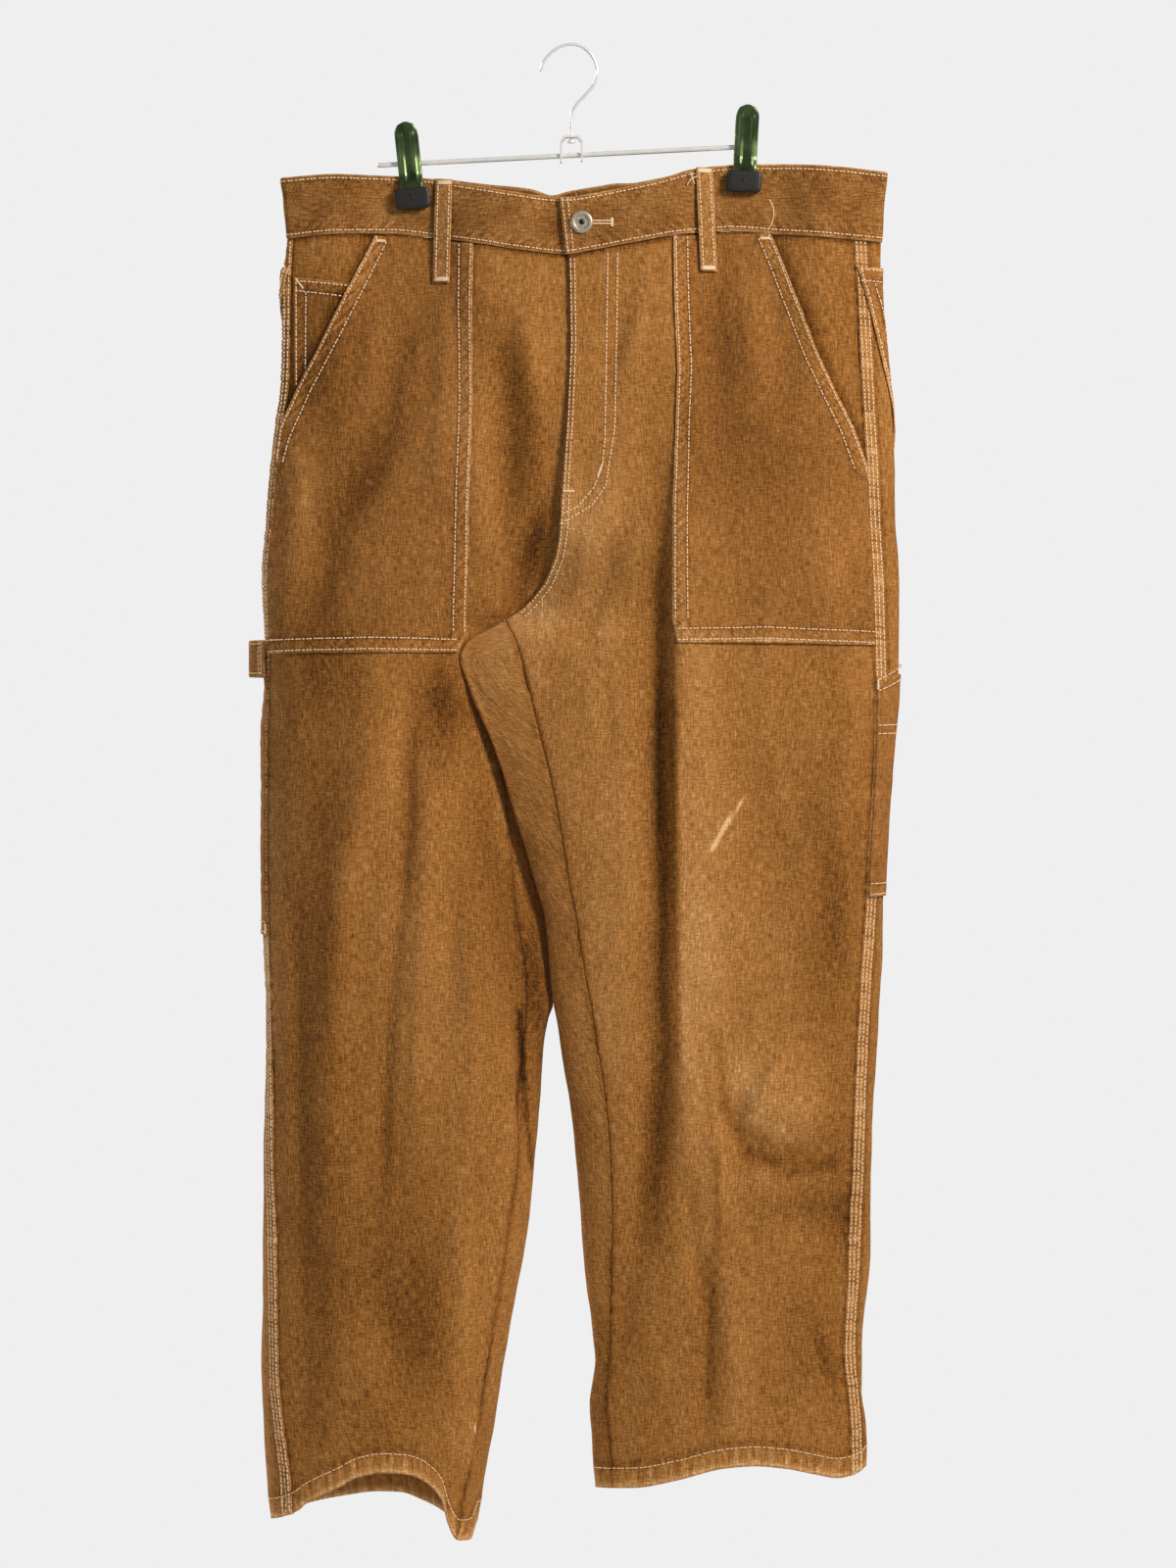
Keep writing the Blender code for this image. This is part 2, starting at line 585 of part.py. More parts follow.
def applied_piece(name, sheet, outline, wall, lift):
    grid = sheet["outer"]
    corners = [find_on_panel(sheet, across, drop) for across, drop in outline]
    us = [c[0] for c in corners]
    vs = [c[1] for c in corners]
    j0, j1 = int(math.floor(min(us))), int(min(math.ceil(max(us)), grid.shape[1] - 1))
    i0, i1 = int(math.floor(min(vs))), int(min(math.ceil(max(vs)), grid.shape[0] - 1))
    flat = bmesh.new()
    spots = {(i, j): flat.verts.new((j, i, 0.0)) for i in range(i0, i1 + 1) for j in range(j0, j1 + 1)}
    for i in range(i0, i1):
        for j in range(j0, j1):
            a, b = spots[i, j], spots[i, j + 1]
            c, d = spots[i + 1, j + 1], spots[i + 1, j]
            flat.faces.new((a, b, c))
            flat.faces.new((a, c, d))
    turn = sum(us[k - 1] * vs[k] - us[k] * vs[k - 1] for k in range(len(us)))
    for k in range(len(us)):
        du, dv = us[k] - us[k - 1], vs[k] - vs[k - 1]
        away = (dv, -du, 0.0) if turn > 0.0 else (-dv, du, 0.0)
        bmesh.ops.bisect_plane(flat, geom=flat.verts[:] + flat.edges[:] + flat.faces[:], dist=1e-5,
                               plane_co=(us[k], vs[k], 0.0), plane_no=away, clear_outer=True)
    bmesh.ops.remove_doubles(flat, verts=flat.verts, dist=1e-4)
    bmesh.ops.triangulate(flat, faces=flat.faces)
    flat.verts.index_update()
    low = []
    top = []
    for vert in flat.verts:
        place = on_panel(grid, vert.co.x, vert.co.y)
        facing = on_panel(sheet["normal"], vert.co.x, vert.co.y)
        under = lift(place[0], -place[2])
        low.append(place + facing * under)
        top.append(place + facing * (under + wall))
    mesh = bmesh.new()
    top = [mesh.verts.new(p * MM) for p in top]
    low = [mesh.verts.new(p * MM) for p in low]
    for face in flat.faces:
        ids = [v.index for v in face.verts]
        mesh.faces.new([top[k] for k in ids])
        mesh.faces.new([low[k] for k in reversed(ids)])
    for edge in flat.edges:
        if len(edge.link_faces) == 1:
            a, b = (v.index for v in edge.verts)
            mesh.faces.new((top[a], top[b], low[b]))
            mesh.faces.new((top[a], low[b], low[a]))
    flat.free()
    return finish(mesh, name)


def level_of(side, x, drop, back):
    raised = back_raise(x) if back else 0.0
    top = along(WAIST_TOP, "drop", "x", x) - raised
    low = along(WAIST_BOTTOM, "drop", "x", x) - raised
    if drop < low:
        return BAND_TOP_LEVEL + (WAIST_SEAM - BAND_TOP_LEVEL) * (drop - top) / (low - top)
    return drop - (low - WAIST_SEAM) * (1.0 - ramp(drop, WAIST_SEAM, WAIST_FADE))


def surface_y(side, x, drop, back):
    depth, _ = depth_at(side, level_of(side, x, drop, back), np.array([float(x)]), back)
    return float(depth[0]) * (1.0 if back else -1.0)


# a belt loop from its top to its foot: how far its inside stands off the band
LOOP_HALF = 6.5
LOOP_WALL = 1.5
LOOP_FRONT = table("part off", [
    (0.0, 2.1), (0.06, 2.4), (0.2, 3.8), (0.5, 4.4), (0.75, 4.2), (0.92, 3.8), (1.0, 3.6),
])
LOOP_SIDE = table("part off", [
    (0.0, 2.2), (0.08, 2.6), (0.3, 3.6), (0.6, 3.9), (0.9, 3.0), (1.0, 2.6),
])
LOOP_SIDE_PLACES = (9.0, 13.0, 18.0, 22.0)
LOOP_SIDE_X = 226.0


def belt_loop(name, side, back, x_top, drop_top, x_low, drop_low):
    outer = []
    inner = []
    facing = 1.0 if back else -1.0
    for part, off in zip(LOOP_FRONT["part"], LOOP_FRONT["off"]):
        x = x_top + (x_low - x_top) * part
        drop = drop_top + (drop_low - drop_top) * part
        row_inner = []
        row_outer = []
        for across in (-LOOP_HALF, -LOOP_HALF / 3.0, LOOP_HALF / 3.0, LOOP_HALF):
            y = surface_y(side, x + across, drop, back) + facing * off
            row_inner.append((x + across, y, -drop))
            row_outer.append((x + across, y + facing * LOOP_WALL, -drop))
        inner.append(row_inner)
        outer.append(row_outer)
    return closed_sheet(name, np.array(outer), np.array(inner))


def side_loop(name, side, drop_top, drop_low):
    outer = []
    inner = []
    for part, off in zip(LOOP_SIDE["part"], LOOP_SIDE["off"]):
        drop = drop_top + (drop_low - drop_top) * part
        level = level_of(side, outward(side) * LOOP_SIDE_X, drop, False)
        path = face_path(side, level, True)
        lengths = length_along(path)
        x, y, nx, ny = points_on(path, lengths, np.array(LOOP_SIDE_PLACES))
        nx, ny = outward(side) * nx, outward(side) * ny
        for rows, away in ((inner, off), (outer, off + LOOP_WALL)):
            rows.append(np.stack([x + nx * away, y + ny * away, 0.0 * x - drop], axis=1))
    return closed_sheet(name, np.array(outer), np.array(inner))


STRAP_WALL = 1.8


def strap(name, side, drop_top, drop_low, rows):
    level = (drop_top + drop_low) / 2.0
    front = face_path(side, level, False)
    back = face_path(side, level, True)
    seam = along(OUTER, "seam_" + side, "drop", level)
    start, _, lengths = cut_path(front, seam, seam)
    keep = lengths < start
    cut = np.array([[seam, np.interp(start, lengths, front[:, 1])]])
    path = np.concatenate([cut, front[keep][::-1], back[1:]])
    lengths = length_along(path)
    places = rows["place"]
    offsets = rows["offset"]
    x, y, nx, ny = points_on(path, lengths, places)
    nx, ny = outward(side) * nx, outward(side) * ny
    outer = []
    inner = []
    for k in range(len(places)):
        row_inner = []
        row_outer = []
        for drop in (drop_top, (drop_top + drop_low) / 2.0, drop_low):
            for row, away in ((row_inner, offsets[k]), (row_outer, offsets[k] + STRAP_WALL)):
                row.append((x[k] + nx[k] * away, y[k] + ny[k] * away, -drop))
        inner.append(row_inner)
        outer.append(row_outer)
    return closed_sheet(name, np.array(outer), np.array(inner))


def smooth_path(points, steps):
    points = np.array(points, dtype=float)
    padded = np.concatenate([[2 * points[0] - points[1]], points, [2 * points[-1] - points[-2]]])
    out = []
    for k in range(len(points) - 1):
        a, b, c, d = padded[k:k + 4]
        for t in np.arange(steps) / steps:
            out.append(0.5 * (2 * b + (c - a) * t + (2 * a - 5 * b + 4 * c - d) * t ** 2
                              + (3 * b - a - 3 * c + d) * t ** 3))
    out.append(points[-1])
    return np.array(out)


def tube(name, centres, radii, sides):
    centres = np.array(centres, dtype=float)
    tangents = np.gradient(centres, axis=0)
    tangents /= np.linalg.norm(tangents, axis=1)[:, None]
    up = np.array([0.0, 1.0, 0.0])
    mesh = bmesh.new()
    rings = []
    for centre, tangent, radius in zip(centres, tangents, radii):
        across = np.cross(up, tangent)
        across /= np.linalg.norm(across)
        lift = np.cross(tangent, across)
        ring = []
        for k in range(sides):
            turn = 2.0 * math.pi * (k + 0.5) / sides
            ring.append(mesh.verts.new((centre + radius * (math.cos(turn) * across
                                                           + math.sin(turn) * lift)) * MM))
        rings.append(ring)
    for one, two in zip(rings, rings[1:]):
        for k in range(sides):
            m = (k + 1) % sides
            mesh.faces.new((one[k], one[m], two[m], two[k]))
    mesh.faces.new(rings[0][::-1])
    mesh.faces.new(rings[-1])
    return finish(mesh, name)


def turned(name, x, drop, y_of_surface, profile, sides):
    mesh = bmesh.new()
    rings = []
    for radius, out in profile:
        ring = []
        for k in range(sides):
            turn = 2.0 * math.pi * k / sides
            ring.append(mesh.verts.new(((x + radius * math.cos(turn)) * MM, (y_of_surface - out) * MM,
                                        (-drop + radius * math.sin(turn)) * MM)))
        rings.append(ring)
    for one, two in zip(rings, rings[1:]):
        for k in range(sides):
            m = (k + 1) % sides
            mesh.faces.new((one[k], one[m], two[m], two[k]))
    mesh.faces.new(rings[0][::-1])
    mesh.faces.new(rings[-1])
    return finish(mesh, name)


def block(name, low, high):
    mesh = bmesh.new()
    bmesh.ops.create_cube(mesh, size=1.0)
    size = np.subtract(high, low)
    centre = np.add(high, low) / 2.0
    for vert in mesh.verts:
        vert.co = [(centre[k] + vert.co[k] * size[k]) * MM for k in range(3)]
    return finish(mesh, name)


def cut_out(thing, cutter):
    cutter.hide_render = True
    cutter.display_type = "WIRE"
    change = thing.modifiers.new("cut", "BOOLEAN")
    change.operation = "DIFFERENCE"
    change.solver = "EXACT"
    change.object = cutter
    graph = bpy.context.evaluated_depsgraph_get()
    data = bpy.data.meshes.new_from_object(thing.evaluated_get(graph))
    thing.modifiers.remove(change)
    thing.data = data
    bpy.data.objects.remove(cutter)


def material(name, colour, rough, metal=0.0):
    made = bpy.data.materials.new(name)
    made.use_nodes = True
    shader = made.node_tree.nodes["Principled BSDF"]
    shader.inputs["Base Color"].default_value = (*colour, 1.0)
    shader.inputs["Roughness"].default_value = rough
    shader.inputs["Metallic"].default_value = metal
    made.diffuse_color = (*colour, 1.0)
    return made


def bar_drop(x):
    (ax, ad), (bx, bd) = BAR_END_R, BAR_END_L
    return ad + (bd - ad) * (x - ax) / (bx - ax)


def clip_point(side, across, down, y):
    x0 = CLIP_X[side]
    tilt = CLIP_TILT[side]
    d0 = bar_drop(x0)
    x = x0 + across * math.cos(tilt) + down * math.sin(tilt) * -1.0
    drop = d0 + down * math.cos(tilt) + across * math.sin(tilt)
    return (x, y, -drop)


# one jaw of a clip from its thumb end to its tip: half width, distance from the middle
JAW = table("down half_width away", [
    (-31.0, 4.6, 10.0), (-28.5, 7.4, 9.8), (-22.0, 8.8, 9.0), (-3.0, 9.0, 6.2),
    (8.0, 9.6, 6.4), (18.0, 10.6, 8.8), (34.0, 11.4, 8.8),
])
JAW_WALL = 1.0
FLUTE_RISE = 0.8
FLUTE_TOP = (-26.0, -20.0)
FLUTE_LOW = (10.0, 18.0)
PAD_TOP = 19.5
PAD_LOW = 35.5
PAD_HALF = 13.2
PAD_FRONT = 11.4
PAD_BEVEL = 1.2
PAD_SLACK = 0.8
SPRING_HALF = 6.0
SPRING_BORE = 2.9
SPRING_RADIUS = 5.85
SPRING_SIDES = 12


def clip_jaw(name, side, facing):
    outer = []
    inner = []
    for k in range(len(JAW["down"])):
        down, half, away = JAW["down"][k], JAW["half_width"][k], JAW["away"][k]
        flute = FLUTE_RISE * ramp(down, *FLUTE_TOP) * (1.0 - ramp(down, *FLUTE_LOW))
        rises = (0.0, 0.0, flute, 0.0, 0.0, flute, 0.0, 0.0)
        places = (-1.0, -0.76, -0.5, -0.24, 0.24, 0.5, 0.76, 1.0)
        row_inner = []
        row_outer = []
        for part, rise in zip(places, rises):
            y = facing * (away + rise)
            row_inner.append(clip_point(side, part * half, down, y))
            row_outer.append(clip_point(side, part * half, down, y + facing * JAW_WALL))
        inner.append(row_inner)
        outer.append(row_outer)
    return closed_sheet(name, np.array(outer), np.array(inner))


def clip_box(name, side, facing, half, slack, downs, aways):
    outer = []
    inner = []
    (top, low), (near, far) = downs, aways
    for down, cut in ((top, slack), (top + PAD_BEVEL, 0.0), (low - PAD_BEVEL, 0.0), (low, slack)):
        row_inner = []
        row_outer = []
        for across, trim in ((-half, slack), (PAD_BEVEL - half, 0.0), (half - PAD_BEVEL, 0.0), (half, slack)):
            ease = max(cut, trim)
            row_inner.append(clip_point(side, across, down, facing * (near + ease)))
            row_outer.append(clip_point(side, across, down, facing * (far - ease)))
        inner.append(row_inner)
        outer.append(row_outer)
    return closed_sheet(name, np.array(outer), np.array(inner))


# a rubber pad, moulded round the tip of its jaw
def clip_pad(name, side, facing):
    near = PINCH_DEPTH + BAND_OUT + SEAM_GAP
    pad = clip_box(name, side, facing, PAD_HALF, PAD_SLACK, (PAD_TOP, PAD_LOW), (near, PAD_FRONT))
    tip = JAW["away"][-1]
    downs = (PAD_TOP - PAD_BEVEL, JAW["down"][-1] + SEAM_GAP)
    aways = (tip - SEAM_GAP, tip + JAW_WALL + SEAM_GAP)
    slot = clip_box("slot", side, facing, JAW["half_width"][-1] + SEAM_GAP, 0.0, downs, aways)
    cut_out(pad, slot)
    return pad


def clip_spring(name, side):
    mesh = bmesh.new()
    rings = []
    for across, radius in ((-SPRING_HALF, SPRING_BORE), (-SPRING_HALF, SPRING_RADIUS),
                           (SPRING_HALF, SPRING_RADIUS), (SPRING_HALF, SPRING_BORE)):
        ring = []
        for k in range(SPRING_SIDES):
            turn = 2.0 * math.pi * k / SPRING_SIDES
            x, y, z = clip_point(side, across, radius * math.cos(turn), radius * math.sin(turn))
            ring.append(mesh.verts.new((x * MM, y * MM, z * MM)))
        rings.append(ring)
    for r in range(4):
        one, two = rings[r], rings[(r + 1) % 4]
        for k in range(SPRING_SIDES):
            m = (k + 1) % SPRING_SIDES
            mesh.faces.new((one[k], one[m], two[m], two[k]))
    return finish(mesh, name)


for thing in list(bpy.data.objects):
    bpy.data.objects.remove(thing)

MADE = {}

# legs and seat
PANELS = {}
for side in (RIGHT, LEFT):
    for back in (False, True):
        made = panel(side, back)
        title = ("back_panel_" if back else "front_panel_") + side
        PANELS[side, back] = made
        MADE[title] = closed_sheet(title, made["outer"], made["inner"])

# waistband
for side in (RIGHT, LEFT):
    made = band(side)
    MADE["waistband_" + side] = closed_sheet("waistband_" + side, made["outer"], made["inner"])

# front pockets, each with a straight slanted mouth
MOUTH_FADE = (60.0, 100.0)
MOUTH_TOP = (150.0, 200.0)
MOUTH_LOW = (300.0, 340.0)
MOUTH = {RIGHT: ((-151.0, 150.0), (-229.0, 314.0)), LEFT: ((152.5, 146.0), (224.5, 322.0))}


def mouth_distance(side, x, drop):
    (ax, ad), (bx, bd) = MOUTH[side]
    size = math.hypot(bx - ax, bd - ad)
    return abs((x - ax) * (bd - ad) - (drop - ad) * (bx - ax)) / size


def mouth_lift(side):
    def lift(x, drop):
        near = 1.0 - ramp(mouth_distance(side, x, drop), *MOUTH_FADE)
        inside = ramp(drop, *MOUTH_TOP) * (1.0 - ramp(drop, *MOUTH_LOW))
        return SEAM_GAP + MOUTH_LIFT * float(near * inside)
    return lift


def flat_lift(x, drop):
    return SEAM_GAP


def side_lift(x, drop):
    return 2.0 * SEAM_GAP


POCKET_R = ((-151.0, 144.8), (-74.5, 152.3), (-75.5, 300.0), (-81.0, 449.0), (-88.0, 464.5),
            (-160.0, 464.5), (-229.0, 465.5), (-231.0, 380.0), (-228.0, 320.0), (-209.0, 268.0))
POCKET_L = ((77.5, 147.0), (152.0, 144.6), (175.5, 200.0), (197.0, 254.0), (224.0, 322.0),
            (229.0, 458.0), (146.0, 455.5), (82.0, 457.5), (79.5, 440.0), (78.5, 300.0))
COIN = ((-212.5, 177.5), (-175.0, 181.5), (-175.0, 262.0), (-210.0, 262.0))
MADE["coin_pocket"] = applied_piece("coin_pocket", PANELS[RIGHT, False], COIN, COIN_WALL, flat_lift)
MADE["patch_pocket_r"] = applied_piece("patch_pocket_r", PANELS[RIGHT, False], POCKET_R,
                                       POCKET_WALL, mouth_lift(RIGHT))
MADE["patch_pocket_l"] = applied_piece("patch_pocket_l", PANELS[LEFT, False], POCKET_L,
                                       POCKET_WALL, mouth_lift(LEFT))

# pockets behind the outseam: distance round from the seam, and drop
SEAT_POCKET = ((1.5, 170.0), (170.0, 176.0), (174.0, 310.0), (98.0, 342.0), (36.0, 324.0))
RULER_POCKET = ((1.5, 484.0), (26.0, 472.0), (120.0, 470.0), (120.0, 645.0), (1.5, 652.0))
TOOL_POCKET = ((1.5, 470.0), (140.0, 470.0), (140.0, 668.0), (1.5, 680.0))
for side in (RIGHT, LEFT):
    title = "back_pocket_" + side
    MADE[title] = applied_piece(title, PANELS[side, True], SEAT_POCKET, POCKET_WALL, side_lift)
MADE["ruler_pocket_l"] = applied_piece("ruler_pocket_l", PANELS[LEFT, True], RULER_POCKET,
                                       POCKET_WALL, side_lift)
MADE["tool_pocket_r"] = applied_piece("tool_pocket_r", PANELS[RIGHT, True], TOOL_POCKET,
                                      POCKET_WALL, side_lift)

# hammer loop, a strap that stands off the side of the right thigh
HAMMER = table("place offset", [
    (1.0, 3.2), (8.0, 4.0), (15.0, 11.5), (24.0, 17.0), (42.0, 20.0), (60.0, 17.5),
    (78.0, 11.5), (92.0, 5.6), (104.0, 4.0), (116.0, 3.3),
])
MADE["hammer_loop_r"] = strap("hammer_loop_r", RIGHT, 455.0, 483.0, HAMMER)

# belt loops
MADE["belt_loop_front_r"] = belt_loop("belt_loop_front_r", RIGHT, False, -97.5, 103.5, -99.5, 182.0)
MADE["belt_loop_front_l"] = belt_loop("belt_loop_front_l", LEFT, False, 101.5, 94.5, 105.0, 173.5)
MADE["belt_loop_centre"] = belt_loop("belt_loop_centre", LEFT, True, 11.5, 108.5, 11.5, 170.0)
MADE["belt_loop_side_r"] = side_loop("belt_loop_side_r", RIGHT, 103.0, 163.0)
MADE["belt_loop_side_l"] = side_loop("belt_loop_side_l", LEFT, 100.0, 161.0)

# tack button in its keyhole buttonhole
BUTTON_X = 8.0
BUTTON_DROP = 136.5
EYE_RADIUS = 2.7
SLIT_END = 30.0
SLIT_HALF = 0.5
CUT_FRONT = 9.0
CUT_BACK = 3.2
EYE_SIDES = 16
band_y = surface_y(LEFT, BUTTON_X, BUTTON_DROP, False)
eye = turned("eye", BUTTON_X, BUTTON_DROP, band_y,
             ((EYE_RADIUS, -CUT_BACK), (EYE_RADIUS, CUT_FRONT)), EYE_SIDES)
cut_out(MADE["waistband_l"], eye)
slit = block("slit", (BUTTON_X, band_y - CUT_FRONT, -BUTTON_DROP - SLIT_HALF),
             (SLIT_END, band_y + CUT_BACK, -BUTTON_DROP + SLIT_HALF))
cut_out(MADE["waistband_l"], slit)
BUTTON_PROFILE = table("radius out", [
    (2.1, -1.2), (2.1, 2.3), (7.6, 2.3), (8.6, 3.1), (8.4, 4.1), (7.2, 4.7), (5.4, 4.5), (4.6, 3.7),
])
profile = list(zip(BUTTON_PROFILE["radius"], BUTTON_PROFILE["out"]))
MADE["button"] = turned("button", BUTTON_X, BUTTON_DROP, band_y, profile, EYE_SIDES)

# hanger hook, its stem headed below the bracket
TIP_SHARE = 0.6
STEM_HEAD = 2.8
HOOK_SIDES = 8
BAR_SIDES = 12
BAR_TIP = 1.1
BAR_TIP_LENGTH = 1.2
BAR_MIDDLE = 60.0
HOOK = ((-23.8, 19.6), (-21.3, 12.6), (-16.6, 6.4), (-10.0, 1.4), (-1.0, -1.2), (7.6, 0.4),
        (14.6, 6.0), (18.8, 13.6), (19.6, 22.0), (16.8, 30.2), (11.0, 37.4), (5.4, 43.2),
        (1.2, 49.6), (0.0, 57.0), (0.0, 66.0), (0.0, 72.6), (0.0, 74.4))
hook_centres = smooth_path([(x, 0.0, -drop) for x, drop in HOOK], 2)
hook_radii = [WIRE_RADIUS] * len(hook_centres)
hook_radii[0] = WIRE_RADIUS * TIP_SHARE
hook_radii[-2:] = [STEM_HEAD, STEM_HEAD]
MADE["hanger_hook"] = tube("hanger_hook", hook_centres, hook_radii, HOOK_SIDES)
bar_x = (BAR_END_R[0], BAR_END_R[0] + BAR_TIP_LENGTH, -BAR_MIDDLE,
         BAR_MIDDLE, BAR_END_L[0] - BAR_TIP_LENGTH, BAR_END_L[0])
bar_centres = [(x, 0.0, -bar_drop(x)) for x in bar_x]
bar_radii = [BAR_TIP] + [BAR_RADIUS] * 4 + [BAR_TIP]
MADE["hanger_bar"] = tube("hanger_bar", bar_centres, bar_radii, BAR_SIDES)

# bracket over the bar
BRACKET_TOP = 69.2
BRACKET_WALL = 1.3
BRACKET_HALF = 4.2
BORE_PLAY = 0.35
BORE_HALF = 14.0
OUTSIDE = ((-8.6, 89.5), (-8.6, 73.0), (-5.6, BRACKET_TOP), (5.6, BRACKET_TOP), (8.6, 73.0), (8.6, 88.5))
outline_out = np.array(OUTSIDE)
outline_in = outline_out.copy()
outline_in[:, 0] -= np.sign(outline_in[:, 0]) * BRACKET_WALL
outline_in[1:5, 1] += BRACKET_WALL
bracket_out = np.array([[(x, y, -d) for y in (-BRACKET_HALF, BRACKET_HALF)] for x, d in outline_out])
bracket_in = np.array([[(x, y, -d) for y in (-BRACKET_HALF, BRACKET_HALF)] for x, d in outline_in])
MADE["hanger_bracket"] = closed_sheet("hanger_bracket", bracket_out, bracket_in)
bore_centres = [(x, 0.0, -bar_drop(x)) for x in (-BORE_HALF, 0.0, BORE_HALF)]
bore = tube("bore", bore_centres, [BAR_RADIUS + BORE_PLAY] * 3, EYE_SIDES)
cut_out(MADE["hanger_bracket"], bore)
hole_ends = [(0.0, 0.0, -BRACKET_TOP + 3.2), (0.0, 0.0, -BRACKET_TOP - 2.6)]
stem_hole = tube("stem_hole", hole_ends, [WIRE_RADIUS + BORE_PLAY] * 2, BAR_SIDES)
cut_out(MADE["hanger_bracket"], stem_hole)

# clips
for side in (RIGHT, LEFT):
    for word, facing in (("front", -1.0), ("back", 1.0)):
        title = "clip_" + side + "_jaw_" + word
        MADE[title] = clip_jaw(title, side, facing)
        title = "clip_" + side + "_pad_" + word
        MADE[title] = clip_pad(title, side, facing)
    MADE["clip_" + side + "_spring"] = clip_spring("clip_" + side + "_spring", side)

CLOTH = material("cotton_duck", (0.32, 0.15, 0.045), 0.9)
DARK_CLOTH = material("cotton_duck_waist", (0.21, 0.085, 0.02), 0.9)
PALE_CLOTH = material("cotton_duck_pocket", (0.29, 0.12, 0.03), 0.9)
STEEL = material("nickel_steel", (0.55, 0.56, 0.52), 0.25, 1.0)
BRASS = material("button_metal", (0.5, 0.42, 0.33), 0.4, 1.0)
RUBBER = material("black_rubber", (0.006, 0.006, 0.006), 0.6)

for title, thing in MADE.items():
    if title.startswith("clip") and "_pad_" in title:
        chosen = RUBBER
    elif title.startswith(("clip", "hanger")):
        chosen = STEEL
    elif title == "button":
        chosen = BRASS
    elif title.startswith(("waistband", "belt_loop")):
        chosen = DARK_CLOTH
    elif "pocket" in title:
        chosen = PALE_CLOTH
    else:
        chosen = CLOTH
    thing.data.materials.clear()
    thing.data.materials.append(chosen)
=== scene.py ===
# Painter's trousers in faded cotton duck, hung by the waistband from a two-clip hanger.
# Table lengths are millimetres. drop is the distance below the inside top of the hook,
# x runs to the right seen from the front, and the front faces -Y.
import math
import bmesh
import bpy
import numpy as np
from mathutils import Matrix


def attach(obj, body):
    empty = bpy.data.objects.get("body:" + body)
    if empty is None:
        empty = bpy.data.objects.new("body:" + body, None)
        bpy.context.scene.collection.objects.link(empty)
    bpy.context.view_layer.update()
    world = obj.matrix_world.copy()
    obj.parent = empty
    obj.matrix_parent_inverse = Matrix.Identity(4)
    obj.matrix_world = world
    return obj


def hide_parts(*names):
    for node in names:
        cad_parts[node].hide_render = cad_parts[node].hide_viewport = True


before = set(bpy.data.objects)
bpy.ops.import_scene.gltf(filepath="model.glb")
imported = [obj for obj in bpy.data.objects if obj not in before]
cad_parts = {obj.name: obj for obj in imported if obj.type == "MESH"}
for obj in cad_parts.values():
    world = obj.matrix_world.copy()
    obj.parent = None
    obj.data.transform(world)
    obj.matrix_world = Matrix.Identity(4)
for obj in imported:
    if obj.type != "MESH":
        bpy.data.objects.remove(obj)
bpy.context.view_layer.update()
print("frame loaded")

mm = 0.001
outwardOf = {"r": -1.0, "l": 1.0}

# camera and lights, in metres and watts
view = {"distance": 4.0, "x": 0.01275, "z": -0.5649, "lens": 120.0, "sensor": 36.0}
lights = {
    "key": {"place": (1.7, -1.7, 0.85), "aim": (0.0, 0.0, -0.55), "size": 0.8, "power": 74.0,
            "tint": "#fff4e6"},
    "fill": {"place": (-2.4, -2.2, -0.2), "aim": (0.0, 0.0, -0.6), "size": 1.8, "power": 9.0,
             "tint": "#f4f6ff"},
    "rimBack": {"place": (-1.9, 1.6, 0.7), "aim": (0.0, 0.0, -0.55), "size": 0.9, "power": 62.0,
                "tint": "#fff6ea"},
}
# the backdrop as the camera sees it and as it lights the part: colour and strength
backdrop = {"seen": ("#efefef", 1.0), "lit": ("#f3f4f6", 0.3)}

cameraData = bpy.data.cameras.new("camera")
cameraData.lens = view["lens"]
cameraData.sensor_width = view["sensor"]
camera = bpy.data.objects.new("camera", cameraData)
camera.location = (view["x"], -view["distance"], view["z"])
camera.rotation_euler = (math.radians(90.0), 0.0, 0.0)
bpy.context.scene.collection.objects.link(camera)
bpy.context.scene.camera = camera
bpy.context.scene.view_settings.view_transform = "Standard"


# sRGB hex to linear light
def linear(hexValue):
    value = np.array([int(hexValue[k:k + 2], 16) for k in (1, 3, 5)]) / 255.0
    low = value / 12.92
    high = ((value + 0.055) / 1.055) ** 2.4
    return tuple(np.where(value <= 0.04045, low, high).tolist())


# a soft disk of light, tilted from straight down by the angle to its aim and turned to the aim's side
def softLight(name, place, aim, size, power, tint):
    data = bpy.data.lights.new(name, "AREA")
    data.shape = "DISK"
    data.size = size
    data.energy = power
    data.color = linear(tint)
    lamp = bpy.data.objects.new(name, data)
    lamp.location = place
    direction = np.array(aim) - np.array(place)
    flat = math.hypot(direction[0], direction[1])
    lamp.rotation_euler = (math.atan2(flat, -direction[2]), 0.0,
                           math.atan2(direction[1], direction[0]) - math.pi / 2.0)
    bpy.context.scene.collection.objects.link(lamp)


for name, light in lights.items():
    softLight(name, **light)

world = bpy.data.worlds.new("studio")
bpy.context.scene.world = world
world.use_nodes = True


# adds one node with its settings and links
def addNode(tree, kind, settings=None, links=None):
    node = tree.nodes.new(kind)
    for name, value in (settings or {}).items():
        if isinstance(name, str) and hasattr(node, name):
            setattr(node, name, value)
        else:
            node.inputs[name].default_value = value
    for name, source in (links or {}).items():
        tree.links.new(source, node.inputs[name])
    return node


tree = world.node_tree
tree.nodes.clear()
skies = {name: addNode(tree, "ShaderNodeBackground", {"Color": (*linear(colour), 1.0), "Strength": strength})
         for name, (colour, strength) in backdrop.items()}
rays = addNode(tree, "ShaderNodeLightPath")
both = addNode(tree, "ShaderNodeMixShader", None, {
    0: rays.outputs["Is Camera Ray"], 1: skies["lit"].outputs[0], 2: skies["seen"].outputs[0]})
addNode(tree, "ShaderNodeOutputWorld", None, {"Surface": both.outputs[0]})


